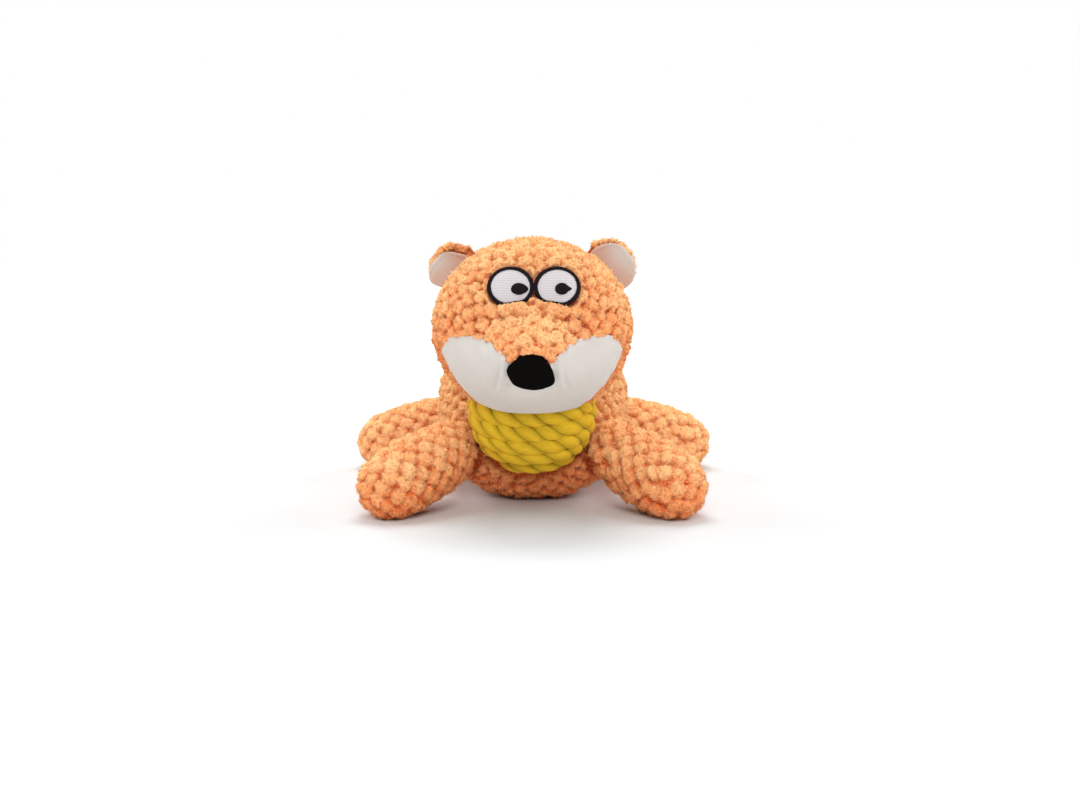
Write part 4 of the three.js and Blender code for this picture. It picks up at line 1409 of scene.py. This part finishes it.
def make_limb(name, radii, length, way, root, seed, pitch, height, seam=None):
    """One limb: its cover, in one piece or with a velour tip past a seam, and its stuffing."""
    flat, faces = limb_points(radii, length, COVER_INSET, LIMB_STEP)
    points = turned_to(flat, way, root)
    normal, area = surface_of(points, faces)
    keep = fade(-1, 4, torso_gap(points))
    if seam:
        keep = keep * (0.3 + 0.7 * fade(0, 1.6, np.abs(flat[:, 2] - seam)))
    centres = limb_lattice(radii, length, pitch)
    centres = turned_to(centres + 0.07 * pitch * lumps_of(centres, 11, seed), way, root)
    centres = settled(centres, points, area, 4, seed)
    raised, pile, shade = tufted(
        points, faces, centres, pitch, 0.75 * height, keep, seed, merged=0.15, lift=1.0,
    )
    # Painted shade: the rear legs' tufts take much less of the roots' colour, so they look paler.
    shade = shade * (0.3 if name.startswith("rear") else 1)
    before_seam = flat[:, 2] < (seam + 0.8 if seam else np.inf)
    cover = part_of(pressed(raised), faces, before_seam, pile, shade)
    cover = plush_piece(f"{name}_plush", *cover)
    stands_for(cover, f"{name}_cover", "orange_plush")
    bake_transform(cover)
    if seam:
        rise = -0.9 + 0.7 * fade(seam - 0.5, seam + 2.5, flat[:, 2])
        rise = rise + 0.3 * lumps(points, 6, 2) + 0.12 * lumps(points, 1.6, 3)
        tip = part_of(points + normal * rise[:, None], faces, flat[:, 2] > seam - 0.8)
        tip = piece(f"{name}_white", *tip, "cut_velour")
        stands_for(tip, f"{name}_tip", "white_velour", name)
    flat, faces = limb_points(radii, length, min(COVER_DEPTH, radii[0] / 2), 3)
    filling = piece(f"{name}_stuffing", pressed(turned_to(flat, way, root)), faces, "loose_fibre")
    stands_for(filling, f"{name}_filling", "fibre_filling")
    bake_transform(filling)


class FOX_OT_legs(bpy.types.Operator):
    """Make the four stuffed legs"""

    bl_idname = "fox.legs"
    bl_label = "Legs"

    def execute(self, context):
        sizes = context.scene.fox_sizes
        legs = [(kind, side, sign) for side, sign in SIDES for kind in LEG_YAW]
        for number, (kind, side, sign) in enumerate(legs):
            name = f"{kind}_leg_{side}"
            make_limb(
                name, LEG_RADII, LEG_LENGTH, limb_way(kind, sign), pivot(f"{name}_swing"),
                LEG_SEED + 10 * number, sizes.leg_bump_pitch / MM, sizes.bump_height / MM,
            )
        return {"FINISHED"}


class FOX_OT_tail(bpy.types.Operator):
    """Make the tail, with its white tip"""

    bl_idname = "fox.tail"
    bl_label = "Tail"

    def execute(self, context):
        sizes = context.scene.fox_sizes
        slope = math.radians(TAIL_SLOPE)
        way = np.array((0, math.cos(slope), -math.sin(slope)))
        make_limb(
            "tail", TAIL_RADII, TAIL_LENGTH, way, pivot("tail_wag"), TAIL_SEED,
            sizes.bump_pitch / MM, 0.8 * sizes.bump_height / MM, TAIL_LENGTH * TAIL_SEAM_SHARE,
        )
        return {"FINISHED"}


# Neck

# The rope's points in one turn, and the points round its cross section.
TURN_POINTS = 72
SECTION_POINTS = 49


def wound_point(turns):
    """A point of the rope's middle line, a number of turns from its lower end."""
    turns = np.asarray(turns, float)
    draw = math.radians(ROPE_END_DRAW)
    low = draw * np.maximum(0, 1 - turns) ** 2
    high = draw * np.maximum(0, 1 - (ROPE_TURNS - turns)) ** 2
    latitude = ROPE_STEP * (turns - ROPE_TURNS / 2) - low + high
    longitude = math.pi + 2 * math.pi * turns
    return ROPE_REACH * np.stack((
        np.cos(latitude) * np.cos(longitude), np.cos(latitude) * np.sin(longitude),
        np.sin(latitude),
    ), axis=-1)


def tucked_line(turns, onward):
    """The rope's end: a bend inwards, and then straight in."""
    start = wound_point(turns)
    radial = unit(start)
    travel = unit(start - wound_point(turns - onward / 24))
    travel = unit(travel - radial * (travel @ radial))
    angle = np.linspace(0, math.pi / 2, 9)[1:, None]
    bend = start + ROPE_BEND * (travel * np.sin(angle) - radial * (1 - np.cos(angle)))
    return np.vstack((bend, bend[-1] - radial * ROPE_BEND))


def rope_tree():
    """A laid rope of two thick strands along a curve."""
    tree, use, given = new_group("laid_rope", (
        ("Diameter", 0.0082), ("Lay", 0.03), ("Step", 0.0008), ("Groove", 0.37), ("Yarn", 0.03),
    ))
    section = add(tree, "GeometryNodeResampleCurve", {"mode": "COUNT"}, {
        "Curve": add(tree, "GeometryNodeCurvePrimitiveLine").outputs[0], "Count": SECTION_POINTS,
    })
    kept = {}
    for word, curve, measure in (
        ("Run", use("even", use("curve", given["Geometry"]), given["Step"]), "Length"),
        ("Share", section.outputs[0], "Factor"),
    ):
        node = add(tree, "GeometryNodeCaptureAttribute", {"domain": "POINT"}, {"Geometry": curve})
        node.capture_items.new("FLOAT", word)
        value = add(tree, "GeometryNodeSplineParameter").outputs[measure]
        tree.links.new(value, node.inputs[word])
        kept[word] = (node.outputs[0], node.outputs[word], value)
    line, kept_run, run = kept["Run"]
    ring, kept_share, share = kept["Share"]
    slack = add(tree, "ShaderNodeTexNoise", {"noise_dimensions": "1D"}, {
        "W": run, "Scale": 28.0, "Detail": 1.0,
    })
    laid = use("ADD", use("DIVIDE", run, given["Lay"]), use("MULTIPLY", slack.outputs["Fac"], 0.5))
    tilted = add(tree, "GeometryNodeSetCurveTilt", inputs={
        "Curve": line, "Tilt": use("MULTIPLY", laid, 2 * math.pi),
    })
    # Each strand rises steeply at one groove and droops slowly to the next.
    angle = use("MULTIPLY", share, 2 * math.pi)
    across = use("FRACT", use("MULTIPLY", share, 2.0))
    rise = use("POWER", use("MINIMUM", use("DIVIDE", across, 0.38), 1.0), 0.6)
    droop = use("SUBTRACT", 1.0, use("MULTIPLY", use("POWER", across, 2.5), 0.65))
    lobe = use("MULTIPLY", rise, droop)
    yarn = use("ABSOLUTE", use("COSINE", use("MULTIPLY", angle, 9.0)))
    sunk = use("MULTIPLY", given["Groove"], use("SUBTRACT", 1.0, lobe))
    finer = use("MULTIPLY", given["Yarn"], use("SUBTRACT", 1.0, yarn))
    level = use("SUBTRACT", use("SUBTRACT", 1.0, sunk), finer)
    radius = use("MULTIPLY", use("MULTIPLY", given["Diameter"], 0.5), level)
    x, y = (use("MULTIPLY", radius, use(way, angle)) for way in ("COSINE", "SINE"))
    profile = add(tree, "GeometryNodeSetPosition", inputs={
        "Geometry": ring, "Position": use("vector", x, y),
    })
    # The strands' height is kept for the painted shade in the grooves.
    kept_lobe = add(tree, "GeometryNodeStoreNamedAttribute", {
        "data_type": "FLOAT", "domain": "POINT",
    }, {"Geometry": profile.outputs[0], "Name": "pile", "Value": lobe})
    tube = add(tree, "GeometryNodeCurveToMesh", inputs={
        "Curve": tilted.outputs[0], "Profile Curve": kept_lobe.outputs[0], "Fill Caps": True,
    })
    straight = use("ADD", kept_share, use("DIVIDE", kept_run, given["Lay"]))
    mapped = add(tree, "GeometryNodeStoreNamedAttribute", {
        "data_type": "FLOAT2", "domain": "CORNER",
    }, {
        "Geometry": tube.outputs[0], "Name": "UVMap", "Value": use("vector", straight, kept_run),
    })
    closed = add(tree, "GeometryNodeMergeByDistance", inputs={
        "Geometry": mapped.outputs[0], "Distance": 0.00001,
    })
    return ended(tree, use("dress", use("smooth", closed.outputs[0]), given["Material"]))


def press_rope(mesh, radius):
    """The outer half of the wound rope is pressed flat, and keeps its outer reach."""
    points = np.empty(3 * len(mesh.vertices), np.float32)
    mesh.vertices.foreach_get("co", points)
    points = points.reshape(-1, 3).astype(float) / MM - NECK
    away = np.linalg.norm(points, axis=1)
    before = ROPE_REACH + radius * np.array((-1, 0, 1))
    after = ROPE_REACH + radius * np.array((-1, ROPE_PRESS, 1))
    wound = (away > before[0]) & (away <= before[2])
    closer = np.where(wound, np.interp(away, before, after), away)
    points = NECK + points * (closer / away)[:, None]
    mesh.vertices.foreach_set("co", (points * MM).astype(np.float32).ravel())
    mesh.update()


class FOX_OT_neck(bpy.types.Operator):
    """Make the neck: a stuffed cloth ball wound with rope"""

    bl_idname = "fox.neck"
    bl_label = "Neck"

    def execute(self, context):
        sizes = context.scene.fox_sizes
        lean = math.radians(NECK_LEAN)
        turn = np.array((
            (1, 0, 0), (0, math.cos(lean), math.sin(lean)), (0, -math.sin(lean), math.cos(lean)),
        ))
        line = np.vstack((
            tucked_line(0, -1)[::-1],
            wound_point(np.linspace(0, ROPE_TURNS, ROPE_TURNS * TURN_POINTS)),
            tucked_line(ROPE_TURNS, 1),
        ))
        points = NECK + line @ turn
        source = line_object("rope_line", points, unit(points - NECK), False)
        rope = grown("rope_winding", source, rope_tree(), {
            "Diameter": sizes.rope_diameter, "Lay": sizes.rope_lay,
            "Material": finish_named("laid_cotton"),
        })
        press_rope(rope.data, 0.5 * sizes.rope_diameter / MM)
        stands_for(rope, "neck_rope", "cotton_rope", "neck")
        ball, faces = ball_grid(5)
        for name, node, radius, finish, slot in (
            ("neck_cloth_ball", "neck_cover", BALL_RADIUS, "woven_cotton", "neck_cloth"),
            ("neck_stuffing", "neck_filling", BALL_FILLING, "loose_fibre", "fibre_filling"),
        ):
            made = piece(name, NECK + ball * radius, faces, finish)
            stands_for(made, node, slot, "neck")
        return {"FINISHED"}


class FOX_OT_squeaker(bpy.types.Operator):
    """Give the squeaker inside the torso its finish"""

    bl_idname = "fox.squeaker"
    bl_label = "Squeaker"

    def execute(self, context):
        for node in ("squeaker_bladder", "squeaker_reed"):
            materials = frame["nodes"][node].data.materials
            materials.clear()
            materials.append(finish_named("soft_vinyl"))
        return {"FINISHED"}


# Stage, in metres, degrees and watts

FLOOR_REACH = 12
SKY_STRENGTH = 0.13
CAMERA_LENS = 39.2
CAMERA_SENSOR = 36
CAMERA_PLACE = (0.004, NECK[1] * MM - 0.632, 0.1386)
CAMERA_PITCH = 6.93
LAMP_AIM = Vector((0, -0.05, 0.06))
LAMPS = (
    ("softbox_top", (-0.05, 0.25, 1.3), 0.8, 12.0),
    ("softbox_front", (0.05, -1.15, 0.9), 0.8, 12.0),
    ("softbox_left", (-1.1, 0.05, 0.6), 0.6, 6.0),
    ("softbox_right", (1.1, 0.05, 0.6), 0.6, 6.0),
    ("softbox_back_left", (-0.75, 0.95, 0.6), 0.5, 6.0),
    ("softbox_back_right", (0.75, 0.95, 0.6), 0.5, 6.0),
)


def paper_material(name):
    # Matt white paper: bright to the camera far from the toy, so that no horizon shows.
    material, tree, use, place = new_material(name)
    away = add(tree, "ShaderNodeVectorMath", {"operation": "LENGTH"}, {0: place})
    camera_ray = add(tree, "ShaderNodeLightPath").outputs["Is Camera Ray"]
    far = use("range", away.outputs["Value"], 0.2, 0.6, 0.0, 1.0)
    return finished(material, {
        "Base Color": use("mix", camera_ray, (0.85, 0.85, 0.85, 1), (0.65, 0.665, 0.67, 1)),
        "Roughness": 0.9, "Specular IOR Level": 0.0, "Emission Color": (1, 1, 1, 1),
        "Emission Strength": use("MULTIPLY", far, camera_ray),
    })


def make_floor():
    mesh = bpy.data.meshes.new("floor")
    ways = ((-1, -1), (1, -1), (1, 1), (-1, 1))
    corners = [(x * FLOOR_REACH, y * FLOOR_REACH, 0) for x, y in ways]
    mesh.from_pydata(corners, [], [(0, 1, 2, 3)])
    mesh.materials.append(paper_material("white_floor"))
    linked("floor", mesh)


def make_sky():
    """White to the camera, in mirror images and through clear pieces, and dim as a light."""
    world = bpy.data.worlds.new("studio")
    bpy.context.scene.world = world
    world.use_nodes = True
    tree = world.node_tree
    tree.nodes.clear()
    use = adder(tree)
    rays = add(tree, "ShaderNodeLightPath").outputs
    seen = use("MAXIMUM", rays["Is Camera Ray"], rays["Is Glossy Ray"])
    seen = use("MAXIMUM", seen, rays["Is Transmission Ray"])
    sky = add(tree, "ShaderNodeBackground", inputs={
        "Color": (1, 1, 1, 1), "Strength": use("range", seen, 0.0, 1.0, SKY_STRENGTH, 1.0),
    })
    add(tree, "ShaderNodeOutputWorld", inputs={"Surface": sky.outputs[0]})


def make_lamps():
    for name, place, size, watts in LAMPS:
        lamp = bpy.data.lights.new(name, "AREA")
        lamp.shape = "SQUARE"
        lamp.size = size
        lamp.energy = watts
        holder = linked(name, lamp)
        holder.location = place
        holder.rotation_euler = (LAMP_AIM - Vector(place)).to_track_quat("-Z", "Y").to_euler()


def make_camera():
    lens = bpy.data.cameras.new("camera")
    lens.sensor_width = CAMERA_SENSOR
    lens.lens = CAMERA_LENS
    camera = linked("camera", lens)
    camera.location = CAMERA_PLACE
    camera.rotation_euler = (math.radians(90 - CAMERA_PITCH), 0, 0)
    bpy.context.scene.camera = camera


class FOX_OT_stage(bpy.types.Operator):
    """Make the floor, the lights and the camera"""

    bl_idname = "fox.stage"
    bl_label = "Stage"

    def execute(self, context):
        context.scene.view_settings.view_transform = "Standard"
        make_floor()
        make_sky()
        make_lamps()
        make_camera()
        return {"FINISHED"}


class FOX_PT_panel(bpy.types.Panel):
    """Buttons for the toy's pieces"""

    bl_idname = "FOX_PT_panel"
    bl_label = "Plush fox toy"
    bl_space_type = "VIEW_3D"
    bl_region_type = "UI"
    bl_category = "Fox toy"

    def draw(self, context):
        layout = self.layout
        for group in (context.scene.fox_sizes, context.scene.fox_colours):
            box = layout.box()
            for name in group.__annotations__:
                box.prop(group, name)
        for operator in PIECES:
            layout.operator(operator.bl_idname)


PIECES = (
    FOX_OT_torso, FOX_OT_legs, FOX_OT_tail, FOX_OT_neck, FOX_OT_head, FOX_OT_nose,
    FOX_OT_eyes, FOX_OT_ears, FOX_OT_squeaker, FOX_OT_stage,
)
CLASSES = (FoxSizes, FoxColours, *PIECES, FOX_PT_panel)


def register():
    for kind in CLASSES:
        bpy.utils.register_class(kind)
    bpy.types.Scene.fox_sizes = bpy.props.PointerProperty(type=FoxSizes)
    bpy.types.Scene.fox_colours = bpy.props.PointerProperty(type=FoxColours)


def unregister():
    del bpy.types.Scene.fox_colours
    del bpy.types.Scene.fox_sizes
    for kind in reversed(CLASSES):
        bpy.utils.unregister_class(kind)


def main():
    register()
    for kind in PIECES:
        group, name = kind.bl_idname.split(".")
        getattr(getattr(bpy.ops, group), name)()


if __name__ == "__main__":
    main()
